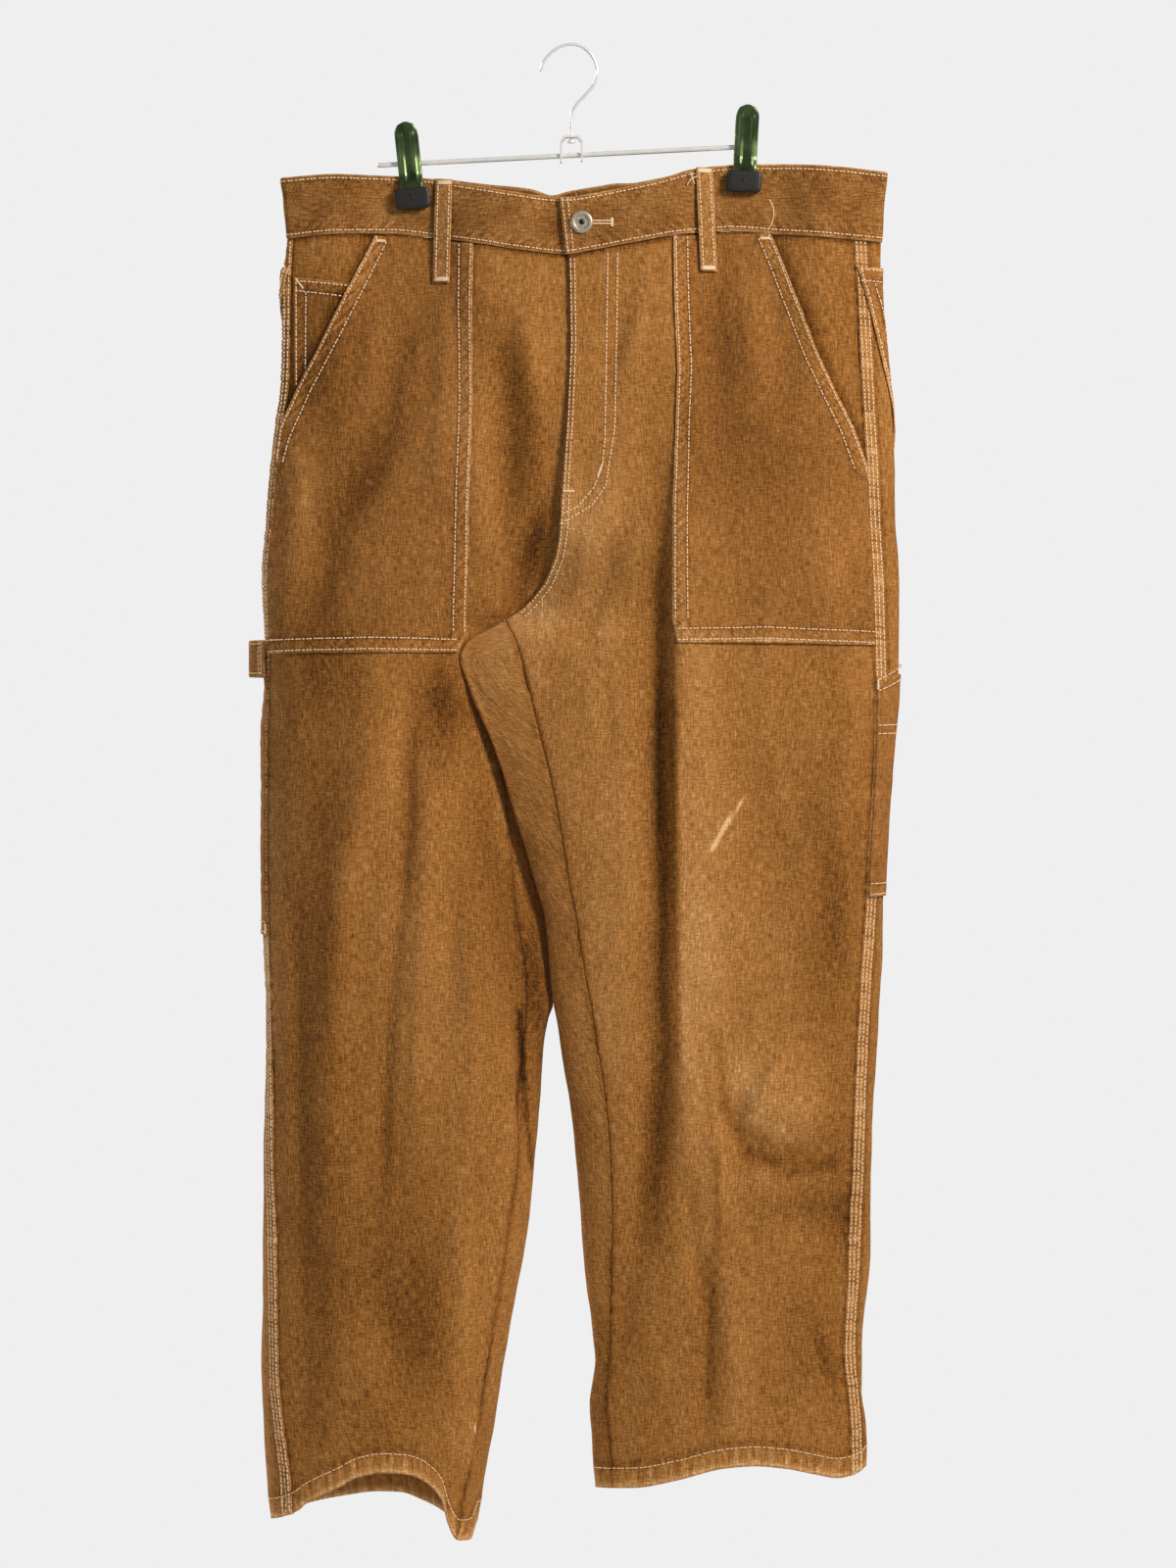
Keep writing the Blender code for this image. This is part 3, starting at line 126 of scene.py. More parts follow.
# a table by column, with the slopes of a curve that never overshoots its rows
def table(names, rows):
    values = np.array(rows, dtype=float)
    keys = values[:, 0]
    columns = {"keys": keys}
    for k, name in enumerate(names.split()):
        ys = values[:, k]
        secants = np.diff(ys) / np.diff(keys) if k else np.ones(len(keys) - 1)
        before, after = secants[:-1], secants[1:]
        total = np.where(np.abs(before + after) < 1e-9, 1.0, before + after)
        inner = np.where(before * after > 0.0, 2.0 * before * after / total, 0.0)
        columns[name] = ys
        columns[name + "Slope"] = np.concatenate([secants[:1], inner, secants[-1:]])
    return columns


# plain rows, read by column, for folds and profiles
def rowsOf(names, rows):
    values = np.array(rows, dtype=float)
    return {name: values[:, k] for k, name in enumerate(names.split())}


# a cubic between rows, through each row's value with its slope
def at(columns, name, value):
    keys = columns["keys"]
    value = np.clip(value, keys[0], keys[-1])
    k = np.clip(np.searchsorted(keys, value, side="right") - 1, 0, len(keys) - 2)
    step = keys[k + 1] - keys[k]
    t = (value - keys[k]) / step
    ys, slopes = columns[name], columns[name + "Slope"]
    return ((1 + 2 * t) * (1 - t) ** 2 * ys[k] + t * (1 - t) ** 2 * step * slopes[k]
            + t * t * (3 - 2 * t) * ys[k + 1] + t * t * (t - 1) * step * slopes[k + 1])


# 0 before start, 1 after end, smooth between
def ramp(value, start, end):
    t = np.clip((np.asarray(value, dtype=float) - start) / (end - start), 0.0, 1.0)
    return t * t * (3.0 - 2.0 * t)


# a sum of sines with fixed odd phases, about -1 to 1, with waves near the given length
def ripple(value, length, seed):
    value = np.asarray(value, dtype=float) / length * 2.0 * math.pi
    rates = np.array([0.61, 0.83, 1.0, 1.37, 1.73])
    phases = np.array([1.3, 2.9, 0.4, 5.1, 3.7]) * (1.0 + 0.37 * seed)
    waves = np.sin(value[..., None] * rates + phases)
    return waves.sum(axis=-1) / 2.6


# the same over a surface, crossing in five directions
def mottle(a, b, length, seed):
    total = 0.0
    for k in range(6):
        turn = 1.1 * k + 0.7 * seed
        wave = (a * math.cos(turn) + b * math.sin(turn)) / length * (0.7 + 0.13 * k) * 2.0 * math.pi
        total = total + np.sin(wave + 2.3 * k + seed + 0.9 * np.sin(wave * 0.37 + k))
    return total / 3.4


# a bell: 1 at its middle, falling off with the square of the distance over its width
def bell(value, middle, width):
    return np.exp(-((value - middle) / width) ** 2)


# height of a quarter circle of radius curve, at a distance from the edge where it starts
def quarter(gap, curve):
    edge = np.minimum(gap, curve)
    return np.sqrt(np.maximum(curve ** 2 - (curve - edge) ** 2, 0.0))


# share of a segment at its spot nearest to each place, and the two steps from that spot to the place
def fromSegment(a, b, start, end):
    da, db = end[0] - start[0], end[1] - start[1]
    t = np.clip(((a - start[0]) * da + (b - start[1]) * db) / (da * da + db * db), 0.0, 1.0)
    return t, a - start[0] - t * da, b - start[1] - t * db


# the garment's levels, seams and curves, shared with the solids
cloth = {
    "waistGap": 0.5, "fellRise": 1.0, "waistSeam": 148.0, "bandTop": 100.0, "hemLevel": 1120.0,
    "crotchDrop": 439.0, "forkHeight": 75.0, "forkDepth": 2.3, "sideCurve": 4.0, "forkCurve": 2.6,
    "backRaise": 8.0, "clipFlat": 17.0, "clipFade": 62.0, "pinch": 1.9,
    "clipX": {"r": -124.0, "l": 133.5},
}
outer = table("drop edge_r seam_r edge_l seam_l", [
    (95, -222, -216, 241, 216),
    (148, -217, -213, 236.5, 216),
    (182, -220.5, -214.5, 237, 218),
    (242, -221, -215, 241.5, 220.5),
    (318, -229, -223, 247.5, 224.5),
    (362, -232.5, -227, 248, 226.5),
    (408, -236, -231, 251, 229),
    (490, -233, -230, 250, 231.5),
    (528, -235.5, -231.5, 247, 231),
    (602, -235.5, -231.5, 241, 227.5),
    (715, -234, -229, 237, 220),
    (768, -233, -227.5, 234, 217),
    (840, -235.5, -226.5, 229.5, 214.5),
    (912, -236, -224, 229, 212),
    (1011, -237, -222, 222, 208),
    (1050, -235.5, -218.5, 222, 211),
    (1090, -233, -213.5, 226, 213),
    (1124, -229.5, -211.5, 226, 213.5),
])
inner = table("drop edge_r seam_r edge_l seam_l", [
    (439, -51.5, -51.5, -50.5, -50.5),
    (445, -52.5, -53.5, -60, -48),
    (451, -53, -55.5, -71, -44.5),
    (458, -54, -57, -81, -41.5),
    (468, -54, -58.5, -85, -38.5),
    (490, -52, -58, -79, -33),
    (528, -46, -56, -63, -24),
    (565, -38, -52, -50, -15),
    (602, -31.5, -47, -39, -8),
    (640, -23.5, -41, -27.5, -2),
    (670, -18, -37.5, -19.5, 4),
    (715, -14.8, -32, -15.5, 11),
    (734, -13.2, -32, -12.9, 15),
    (744, -16.8, -32.5, -11.2, 16.8),
    (768, -21.4, -35, -7.5, 20.5),
    (812, -24, -38, -1, 26.5),
    (858, -28.5, -41, 4, 30),
    (902, -33, -47, 7.5, 31),
    (948, -41, -54.5, 12, 30),
    (992, -49.5, -61.5, 17, 28.5),
    (1011, -53, -65, 18.5, 28),
    (1050, -59, -71.5, 14, 26.5),
    (1090, -67, -82, 16.5, 30),
    (1124, -72, -88, 18.5, 31),
])
depths = table("drop torso leg_r leg_l round skew", [
    (95, 13, 36, 32, 1, 0),
    (148, 15, 36, 32, 1, 0),
    (200, 20, 36, 32, 1, 0),
    (260, 27, 36, 32, 1, 0),
    (330, 33, 37, 33, 1, 0),
    (439, 36, 38, 34, 1, 0),
    (445, 36, 38, 34, 1, 6),
    (451, 36, 38.5, 34, 1, 11),
    (458, 36, 39, 34, 1, 15),
    (468, 36, 39, 34, 1, 17),
    (490, 36, 40, 34, 0.95, 17),
    (565, 36, 43, 33, 0.85, 15),
    (640, 36, 44, 32, 0.7, 11),
    (700, 36, 45, 31, 0.6, 8),
    (760, 36, 45, 31, 0.5, 5),
    (900, 36, 45, 29, 0.5, 2),
    (1060, 36, 46, 26, 0.5, 0),
    (1124, 36, 46, 25, 0.5, 0),
])
centre = table("drop fly seat setBack", [
    (95, -9, 4, 2.6),
    (148, -2.5, 4, 2.6),
    (228, -1, 3, 3.2),
    (288, -4, 0, 4.5),
    (340, -7.5, -6, 7),
    (374, -9.5, -14, 8),
    (392, -13, -20, 7),
    (411, -21, -29, 4),
    (426, -33, -40, 1.5),
    (434, -42, -47, 0.4),
    (439, -51, -51, 0),
])
waistTop = table("x drop", [
    (-224, 101.5), (-182, 99), (-137, 100), (-103.5, 102.5), (-77, 107.5),
    (-47, 112.5), (-17, 116.5), (-2, 117), (13, 115), (43, 109),
    (73, 102), (91.5, 96), (125, 91.5), (155, 91), (200, 93), (241.5, 97),
])
waistBottom = table("x drop", [
    (-216, 148), (-182, 145), (-137, 144), (-107, 147), (-77, 151.5),
    (-40, 157.5), (-2, 161), (13, 158.5), (50, 151.5), (88, 145),
    (121.5, 142), (163, 145), (200, 148), (238, 151),
])
hemFront = {
    "r": table("x drop", [
        (-229.5, 1126), (-212, 1119), (-201, 1110.5), (-176, 1097.5), (-160.5, 1089.5),
        (-143, 1086.5), (-126, 1087.5), (-115, 1091), (-106, 1097.5), (-98, 1108),
        (-92, 1129), (-85, 1140), (-77, 1140.5), (-72, 1128),
    ]),
    "l": table("x drop", [
        (18, 1102.5), (50, 1101), (80, 1095), (118, 1085.5), (140, 1084),
        (163, 1086), (185, 1090.5), (204, 1094), (215, 1092), (226, 1086),
    ]),
}
hemBack = {
    "r": table("x drop", [
        (-229.5, 1126), (-201, 1119), (-176, 1115), (-149, 1112), (-132, 1112.5),
        (-115, 1118), (-98, 1126), (-85, 1138), (-77, 1140.5), (-72, 1128),
    ]),
    "l": hemFront["l"],
}

# folds: the two ends of each, its half widths towards -x and +x, and depth, negative for a ridge
foldNames = "xTop dropTop xLow dropLow before after depth"
frontFolds = {
    "r": rowsOf(foldNames, [
        (-115, 190, -141, 287, 16, 9, 5),
        (-141, 287, -185, 385, 18, 13, 6.5),
        (-185, 380, -196, 455, 14, 14, 5),
        (-152, 185, -168, 265, 9, 7, 3.5),
        (-98, 190, -96, 340, 9, 12, -3.5),
        (-205, 300, -214, 420, 12, 10, -3),
        (-148, 468, -176, 700, 17, 14, -7),
        (-178, 670, -182, 860, 15, 13, -6),
        (-182, 840, -170, 1010, 16, 18, -4.5),
        (-118, 500, -133, 700, 9, 5, 5),
        (-133, 680, -147, 900, 8, 6, 4.5),
        (-107, 560, -122, 840, 6, 12, -3),
        (-98, 462, -105, 530, 12, 9, 4.5),
        (-70, 650, -76, 800, 10, 10, -3.5),
        (-76, 780, -86, 1020, 12, 10, -4.5),
        (-150, 920, -112, 1050, 18, 14, 4),
        (-50, 215, -46, 425, 14, 14, 6),
        (-66, 380, -80, 452, 16, 14, 4),
        (-48, 610, -34, 760, 13, 11, 7),
        (-56, 640, -41, 725, 5, 4, -2.6),
        (-40, 732, -35, 850, 3.6, 5, 6),
        (-64, 600, -52, 700, 5, 4, 2.6),
        (-40, 195, -22, 285, 9, 8, -3.5),
        (-72, 300, -66, 430, 9, 9, -2.5),
        (-208, 640, -204, 1010, 7, 6, 1.8),
        (-92, 620, -90, 760, 6, 8, 2.2),
        (-62, 880, -58, 930, 5, 5, 1.6),
        (-196, 1000, -204, 1090, 9, 9, 1.8),
        (-62, 560, -48, 690, 8, 8, 2),
    ]),
    "l": rowsOf(foldNames, [
        (80, 320, 82, 700, 7, 30, -9),
        (66, 370, 69, 760, 24, 6, 8.5),
        (83, 680, 90, 940, 13, 26, -7),
        (66, 730, 60, 915, 18, 10, 5),
        (155, 510, 152, 740, 34, 26, 5),
        (212, 465, 209, 720, 20, 7, -4.5),
        (134, 165, 146, 270, 10, 14, -3.5),
        (112, 165, 118, 330, 16, 12, 3),
        (191, 350, 195, 455, 16, 14, -4),
        (150, 420, 148, 520, 8, 14, -2),
        (60, 165, 44, 245, 9, 9, -3.5),
        (48, 170, 26, 270, 9, 7, 3),
        (34, 320, 12, 420, 13, 15, -3),
        (44, 350, 8, 450, 12, 9, 5),
        (142, 782, 164, 796, 30, 30, -8),
        (120, 822, 152, 851, 9, 9, 6),
        (152, 851, 204, 840, 10, 10, 6),
        (132, 806, 186, 824, 14, 14, -3.5),
        (128, 796, 126, 824, 6, 6, 4),
        (85, 862, 96, 935, 7, 9, 4),
        (96, 925, 107, 1005, 6, 8, 5),
        (107, 995, 100, 1055, 6, 9, 4),
        (119, 905, 123, 1035, 9, 17, -4),
        (108, 822, 117, 905, 7, 9, -3),
        (205, 872, 210, 930, 9, 9, 4),
        (46, 940, 34, 1012, 11, 9, 3.5),
        (170, 940, 158, 1050, 10, 12, 2.4),
        (24, 470, 36, 620, 7, 7, 1.8),
        (40, 560, 44, 760, 16, 14, -3),
        (196, 950, 200, 1050, 8, 8, 2.2),
    ]),
}
backFolds = {
    "r": rowsOf(foldNames, [
        (-70, 370, -150, 430, 16, 16, 6),
        (-60, 470, -190, 500, 15, 12, 6),
        (-150, 560, -140, 760, 22, 12, 7),
        (-176, 600, -168, 800, 10, 16, -4),
        (-60, 800, -190, 840, 16, 12, 6),
        (-120, 880, -150, 1050, 16, 12, 5),
        (-90, 500, -120, 640, 8, 8, 2.8),
        (-80, 780, -160, 770, 7, 7, 2.2),
        (-196, 880, -186, 1040, 8, 8, 2.2),
        (-40, 250, -60, 380, 9, 9, 2),
        (-100, 640, -96, 780, 12, 9, -3),
    ]),
    "l": rowsOf(foldNames, [
        (20, 390, 120, 430, 16, 16, 6),
        (10, 500, 170, 520, 14, 12, 5),
        (120, 560, 110, 780, 12, 22, 7),
        (140, 600, 134, 800, 16, 10, -4),
        (20, 830, 180, 850, 15, 12, 5),
        (130, 900, 110, 1040, 16, 12, 5),
        (60, 540, 50, 700, 8, 8, 2.8),
        (60, 800, 150, 790, 7, 7, 2.2),
        (180, 900, 170, 1050, 8, 8, 2),
        (60, 260, 50, 400, 9, 9, 2),
        (70, 640, 76, 770, 9, 12, -3),
    ]),
}


# half depth of one leg: a flattened oval whose inner end may be sharper, closed by small round turns
def legDepth(side, drop, x, inside):
    outside = at(outer, "edge_" + side, drop)
    half = abs(outside - inside) / 2.0
    place = np.clip((x - (outside + inside) / 2.0) / half * -outwardOf[side], -1.0, 1.0)
    away = np.abs(place)
    power = np.where(place > 0.0, at(depths, "round", drop), 0.5)
    depth = at(depths, "leg_" + side, drop) * (1.0 - away ** 2.3) ** power
    turn = quarter(half * (1.0 - away), np.where(place > 0.0, cloth["forkCurve"], cloth["sideCurve"]))
    return np.maximum(depth, turn), place


# half depth of the body: a flat oval, pressed together where the clips hold it
def torsoDepth(drop, x):
    right, left = at(outer, "edge_r", drop), at(outer, "edge_l", drop)
    half = (left - right) / 2.0
    away = np.clip(np.abs(x - (right + left) / 2.0) / half, 0.0, 1.0)
    depth = at(depths, "torso", drop) * (1.0 - away ** 2.4) ** 0.5
    hold = 0.0
    for side in ("r", "l"):
        near = 1.0 - ramp(np.abs(x - cloth["clipX"][side]), cloth["clipFlat"], cloth["clipFade"])
        hold = np.maximum(hold, near * (1.0 - ramp(drop, 165.0, 300.0)))
    depth = depth * (1.0 - hold) + cloth["pinch"] * hold
    gap = half * (1.0 - away)
    turn = quarter(gap, cloth["sideCurve"]) * (1.0 - ramp(gap, cloth["sideCurve"], 40.0))
    return np.maximum(depth, turn)


# x of the centre line: the fly in front, the seat's seam behind
def centreX(drop, back):
    return at(centre, "seat" if back else "fly", drop)


# depth and lean of a face at x: the body blends into the two legs over the fork
def depthAt(side, drop, x, back):
    if drop > cloth["crotchDrop"]:
        depth, place = legDepth(side, drop, x, at(inner, "edge_" + side, drop))
        return depth, at(depths, "skew", drop) * np.maximum(place, 0.0) ** 2 * -outwardOf[side]
    fork = ramp(drop, cloth["crotchDrop"] - cloth["forkHeight"], cloth["crotchDrop"])
    leg, place = legDepth(side, drop, x, centreX(drop, back))
    torso = torsoDepth(drop, x)
    depth = torso * (1.0 - fork) + np.maximum(leg, cloth["forkDepth"]) * fork
    return np.where(place < -0.9, leg * fork + torso * (1.0 - fork), depth), 0.0 * x


# the plan outline of one face from its outer fold to its centre
def facePath(side, drop, back, reach=30.0):
    outside = at(outer, "edge_" + side, drop)
    if drop > cloth["crotchDrop"]:
        inside = at(inner, "edge_" + side, drop)
    else:
        inside = centreX(drop, back)
        if side == "r" and not back:
            inside = inside + reach
    turn = np.linspace(0.0, math.pi, 420)
    x = outside + (inside - outside) * (1.0 - np.cos(turn)) / 2.0
    depth, lean = depthAt(side, drop, x, back)
    if drop <= cloth["crotchDrop"] and not (side == "r" and not back):
        depth[-1] = depth[-2]
    return np.stack([x, (depth if back else -depth) + lean], axis=1)


# length gone at each point of a line, the sum of the steps before it
def lengthsOf(path):
    return np.concatenate([[0.0], np.cumsum(np.hypot(*np.diff(path, axis=0).T))])


# length gone where a path passes x
def placeOf(path, lengths, x):
    order = np.argsort(path[:, 0])
    return float(np.interp(x, path[order, 0], lengths[order]))


# the outline from x on the front, round the outer fold and across the back
def outlineFrom(side, drop, x):
    front = facePath(side, drop, False)
    lengths = lengthsOf(front)
    start = placeOf(front, lengths, x)
    cut = np.array([[x, np.interp(start, lengths, front[:, 1])]])
    return np.concatenate([cut, front[lengths < start][::-1], facePath(side, drop, True)[1:]])


# points at given lengths of a path, with the normal that the path's own direction gives
def pointsOn(path, lengths, places, sign):
    x = np.interp(places, lengths, path[:, 0])
    y = np.interp(places, lengths, path[:, 1])
    ahead, behind = np.clip(places + 1.2, 0, lengths[-1]), np.clip(places - 1.2, 0, lengths[-1])
    tx = np.interp(ahead, lengths, path[:, 0]) - np.interp(behind, lengths, path[:, 0])
    ty = np.interp(ahead, lengths, path[:, 1]) - np.interp(behind, lengths, path[:, 1])
    size = np.hypot(tx, ty)
    return x, y, sign * ty / size, -sign * tx / size


# from the outseam across the front to the inseam, or to the fly above the fork
def frontRow(side, drop, columns):
    path = facePath(side, drop, False)
    lengths = lengthsOf(path)
    start = placeOf(path, lengths, at(outer, "seam_" + side, drop)) + 0.1
    if drop > cloth["crotchDrop"]:
        middle, reach = at(inner, "seam_" + side, drop), 0.0
    else:
        middle = centreX(drop, False)
        reach = 5.0 * (1.0 - ramp(drop, 400.0, 429.0)) if side == "r" else 0.0
    end = placeOf(path, lengths, middle + reach) - 0.1
    places = np.linspace(start, end, columns)
    return (*pointsOn(path, lengths, places, -outwardOf[side]), places - start)


# from the outseam round the outer fold, across the back and round the inner fold to the inseam: close
# steps on the fell and on the inner fold, and between them steps that shorten where the outline bends
def backRow(side, drop, columns):
    path, wrap = outlineFrom(side, drop, at(outer, "seam_" + side, drop)), 0.0
    if drop > cloth["crotchDrop"]:
        front = facePath(side, drop, False)
        lengths = lengthsOf(front)
        inseam = at(inner, "seam_" + side, drop)
        end = placeOf(front, lengths, inseam)
        path = np.concatenate([path, front[lengths > end][::-1][1:],
                               [[inseam, np.interp(end, lengths, front[:, 1])]]])
        wrap = lengths[-1] - end
    lengths = lengthsOf(path)
    total = lengths[-1]
    turn = total * (1.0 - max(0.06, wrap / total))
    steps = np.diff(path, axis=0)
    heading = np.unwrap(np.arctan2(steps[:, 1], steps[:, 0]))
    bend = np.concatenate([[0.0], np.cumsum(np.abs(np.diff(heading))), [0.0]])
    bend[-1] = bend[-2]
    measure = lengths + 16.0 * bend
    first, last = np.interp((11.5, turn), lengths, measure)
    strip, fork = 9, 22
    middle = np.interp(np.linspace(first, last, columns - strip - fork), measure, lengths)
    places = np.concatenate([np.linspace(0.1, 10.0, strip), middle,
                             np.linspace(turn, total - 0.1, fork + 1)[1:]])
    return (*pointsOn(path, lengths, places, outwardOf[side]), places)


# how far folds press the cloth in: a bell across each, wider on one side, fading towards its ends
def foldsAt(folds, x, drop):
    total = np.zeros_like(x)
    for ax, ad, bx, bd, before, after, depth in zip(*[folds[name] for name in foldNames.split()]):
        t, offX, offDrop = fromSegment(x, drop, (ax, ad), (bx, bd))
        offX = offX + 0.12 * before * np.sin(6.0 * t + ax)
        width = np.where(offX < 0.0, before, after)
        swell = (0.3 + 0.7 * np.sin(math.pi * t)) * (1.0 + 0.12 * np.sin(9.0 * t + bd))
        near = np.exp(-(offX / width) ** 2 - (offDrop / (0.5 * (before + after))) ** 2)
        total = total + depth * near * swell
    return total


# how much higher the waist stands behind: a parabola over its middle, less a dip beside the centre
def backRaise(x):
    dip = 1.0 - 0.5 * bell(x, -15.0, 10.0) - 0.35 * ramp(x, 30.0, 50.0)
    return cloth["backRaise"] * np.clip(1.0 - ((x - 5.0) / 118.0) ** 2, 0.0, 1.0) * dip


# how far a level row is moved down: near the waist to its seam's line, near the hem to the hem's line
def rowShift(side, level, x, ny):
    back = ramp(ny, -0.3, 0.3)
    waist = at(waistBottom, "drop", x) + cloth["waistGap"] - cloth["waistSeam"] - back * backRaise(x)
    waist = waist * (1.0 - ramp(level, cloth["waistSeam"], 330.0))
    front = at(hemFront[side], "drop", x)
    hem = front + (at(hemBack[side], "drop", x) - front) * back - cloth["hemLevel"]
    return waist + hem * ramp(level, 930.0, cloth["hemLevel"])


# surface normals of a grid, from its two directions, turned the way of a rough normal
def gridNormals(points, rough):
    across = np.gradient(points, axis=1)
    down = np.gradient(points, axis=0)
    normal = np.cross(across, down)
    size = np.linalg.norm(normal, axis=2, keepdims=True)
    normal = normal / np.maximum(size, 1e-9)
    sign = np.sign(np.sum(normal * rough, axis=2, keepdims=True))
    return normal * np.where(sign == 0.0, 1.0, sign)


# columns round a panel, steps between its rows, levels with closer rows, and the fell's stitch rows:
# place round from the seam, how deep each draws the cloth in, and the width of that groove
panelDetail = {
    "frontColumns": 96, "backColumns": 128, "rowStep": 4.2, "forkStep": 1.5, "hemRows": 10,
    "forkTop": 436.0, "forkLow": 475.0, "hemTop": 1100.0,
    "fellRows": ((5.0, 0.35, 0.9), (1.6, 0.3, 0.8), (8.4, 0.3, 0.8)),
}


# one leg panel as a grid of points, normals, round lengths and drops: level rows round the body, moved
# down to waist and hem, pressed in by the folds, with fine creases, puckers and the fell on top
def panelGrid(side, back):
    detail = panelDetail
    levels = np.concatenate([
        np.arange(cloth["waistSeam"], detail["forkTop"], detail["rowStep"]),
        np.arange(detail["forkTop"], detail["forkLow"], detail["forkStep"]),
        np.arange(detail["forkLow"], detail["hemTop"], detail["rowStep"]),
        np.linspace(detail["hemTop"], cloth["hemLevel"], detail["hemRows"])])
    columns = detail["backColumns" if back else "frontColumns"]
    rows = []
    for level in levels:
        x, y, nx, ny, length = (backRow if back else frontRow)(side, level, columns)
        drop = level + rowShift(side, level, x, ny)
        folds = foldsAt(frontFolds[side], x, drop) * ramp(-ny, 0.25, 0.8)
        folds = folds + foldsAt(backFolds[side], x, drop) * ramp(ny, 0.25, 0.8)
        folds = folds * ramp(level, 165.0, 230.0)
        if not back and side == "r" and level <= cloth["crotchDrop"]:
            fly = centreX(level, False)
            y = y + at(centre, "setBack", level) * ramp(x, fly - 38.0, fly - 4.0)
        rows.append((x, y, drop, nx, ny, folds, length, 0.0 * x + level))
    x, y, drop, nx, ny, folds, length, level = (np.array([row[k] for row in rows]) for k in range(8))
    rough = np.stack([nx, ny, 0.0 * nx], axis=2)
    base = np.stack([x - nx * folds, y - ny * folds, -drop], axis=2)
    seed = 1.0 + 2.0 * back + (side == "l")
    # small folds of handled cloth, and puckers where stitching draws the cloth in
    soft = 0.55 * mottle(length, drop * 0.45, 46.0, seed)
    soft = soft + 0.22 * mottle(length, drop * 0.6, 19.0, seed + 3)
    soft = soft * ramp(level, 150.0, 200.0) * ramp(1118.0 - level, 0.0, 30.0)
    pucker = 0.45 * bell(length, 0.0, 13.0) * ripple(drop, 11.0, seed)
    pucker = pucker + 0.5 * bell(level, 1104.0, 7.0) * ripple(length, 9.0, seed + 1)
    pucker = pucker + 0.35 * bell(level, cloth["waistSeam"], 9.0) * ripple(length, 12.0, seed + 2)
    if not back:
        pucker = pucker + 0.35 * bell(length, length[:, -1:], 10.0) * ripple(drop, 10.0, seed + 5)
    rise = soft * 0.9 + pucker
    if back:
        lap = 1.0 - ramp(length, 9.6, 11.4)
        rise = rise + cloth["fellRise"] * lap * (0.92 + 0.08 * ripple(drop, 4.0, 2))
        for place, depth, width in detail["fellRows"]:
            rise = rise - depth * bell(length, place, width)
    tight = ramp(np.abs(drop - 452.0), 6.0, 40.0)
    points = base + rough * (rise * (0.15 + 0.85 * tight))[..., None]
    return {"points": points, "normals": gridNormals(points, rough), "length": length, "drop": drop,
            "level": level, "side": side, "back": back, "folds": folds, "rise": rise}


# value of a grid at fractional column u and row v
def sample(grid, u, v):
    j = np.clip(np.floor(u).astype(int), 0, grid.shape[1] - 2)
    i = np.clip(np.floor(v).astype(int), 0, grid.shape[0] - 2)
    fu, fv = u - j, v - i
    if grid.ndim == 3:
        fu, fv = fu[..., None], fv[..., None]
    top = grid[i, j] * (1 - fu) + grid[i, j + 1] * fu
    low = grid[i + 1, j] * (1 - fu) + grid[i + 1, j + 1] * fu
    return top * (1 - fv) + low * fv


# finds the fractional column and row where two fields of a grid take given values, by Newton's steps
def locate(first, second, a, b):
    a, b = np.asarray(a, dtype=float), np.asarray(b, dtype=float)
    shape = a.shape
    a, b = a.ravel(), b.ravel()
    si, sj = max(first.shape[0] // 40, 1), max(first.shape[1] // 24, 1)
    coarse = (first[::si, ::sj], second[::si, ::sj])
    gap = (coarse[0].ravel()[None] - a[:, None]) ** 2 + (coarse[1].ravel()[None] - b[:, None]) ** 2
    best = gap.argmin(axis=1)
    v = (best // coarse[0].shape[1] * si).astype(float)
    u = (best % coarse[0].shape[1] * sj).astype(float)
    top, side = first.shape[0] - 1.001, first.shape[1] - 1.001
    for _ in range(14):
        u1, v1 = np.clip(u, 0, side - 0.5), np.clip(v, 0, top - 0.5)
        a0, b0 = sample(first, u1, v1), sample(second, u1, v1)
        au, bu = (sample(first, u1 + 0.5, v1) - a0) * 2, (sample(second, u1 + 0.5, v1) - b0) * 2
        av, bv = (sample(first, u1, v1 + 0.5) - a0) * 2, (sample(second, u1, v1 + 0.5) - b0) * 2
        det = au * bv - av * bu
        det = np.where(np.abs(det) < 1e-6, 1e-6, det)
        du = ((a - a0) * bv - (b - b0) * av) / det
        dv = ((b - b0) * au - (a - a0) * bu) / det
        u, v = np.clip(u1 + np.clip(du, -8, 8), 0, side), np.clip(v1 + np.clip(dv, -8, 8), 0, top)
    return u.reshape(shape), v.reshape(shape)


# places on a panel: x and drop on a front, length round from the outseam and drop on a back
def onPanel(panel, a, b, lift):
    field = panel["length"] if panel["back"] else panel["points"][..., 0]
    u, v = locate(field, panel["drop"], a, b)
    normal = sample(panel["normals"], u, v)
    return sample(panel["points"], u, v) + normal * np.asarray(lift)[..., None], normal


print("surfaces ready")

# cotton duck: the ends of its scale of tones, and the deep, middle and pale tone of each cloth
duckEnds = ("#3e2208", "#e4b98a")
duckTones = {
    "cottonDuckFaded": ("#774b1b", "#a06c34", "#c08e56"),
    "cottonDuckWaist": ("#6b431b", "#936330", "#b68752"),
    "cottonDuckPocket": ("#71471b", "#996631", "#b9854c"),
}
# the layers of yarn and cloud: waves a metre across and down, detail, and weight in the tone
duckLayers = {
    "warp": (900.0, 130.0, 1.0, 0.74), "weft": (170.0, 820.0, 1.0, 0.58),
    "speck": (620.0, 620.0, 1.0, 0.26), "slub": (340.0, 26.0, 2.0, 0.24),
    "cloud": (10.0, 7.0, 2.0, 0.2), "crease": (70.0, 46.0, 3.0, 0.12),
}
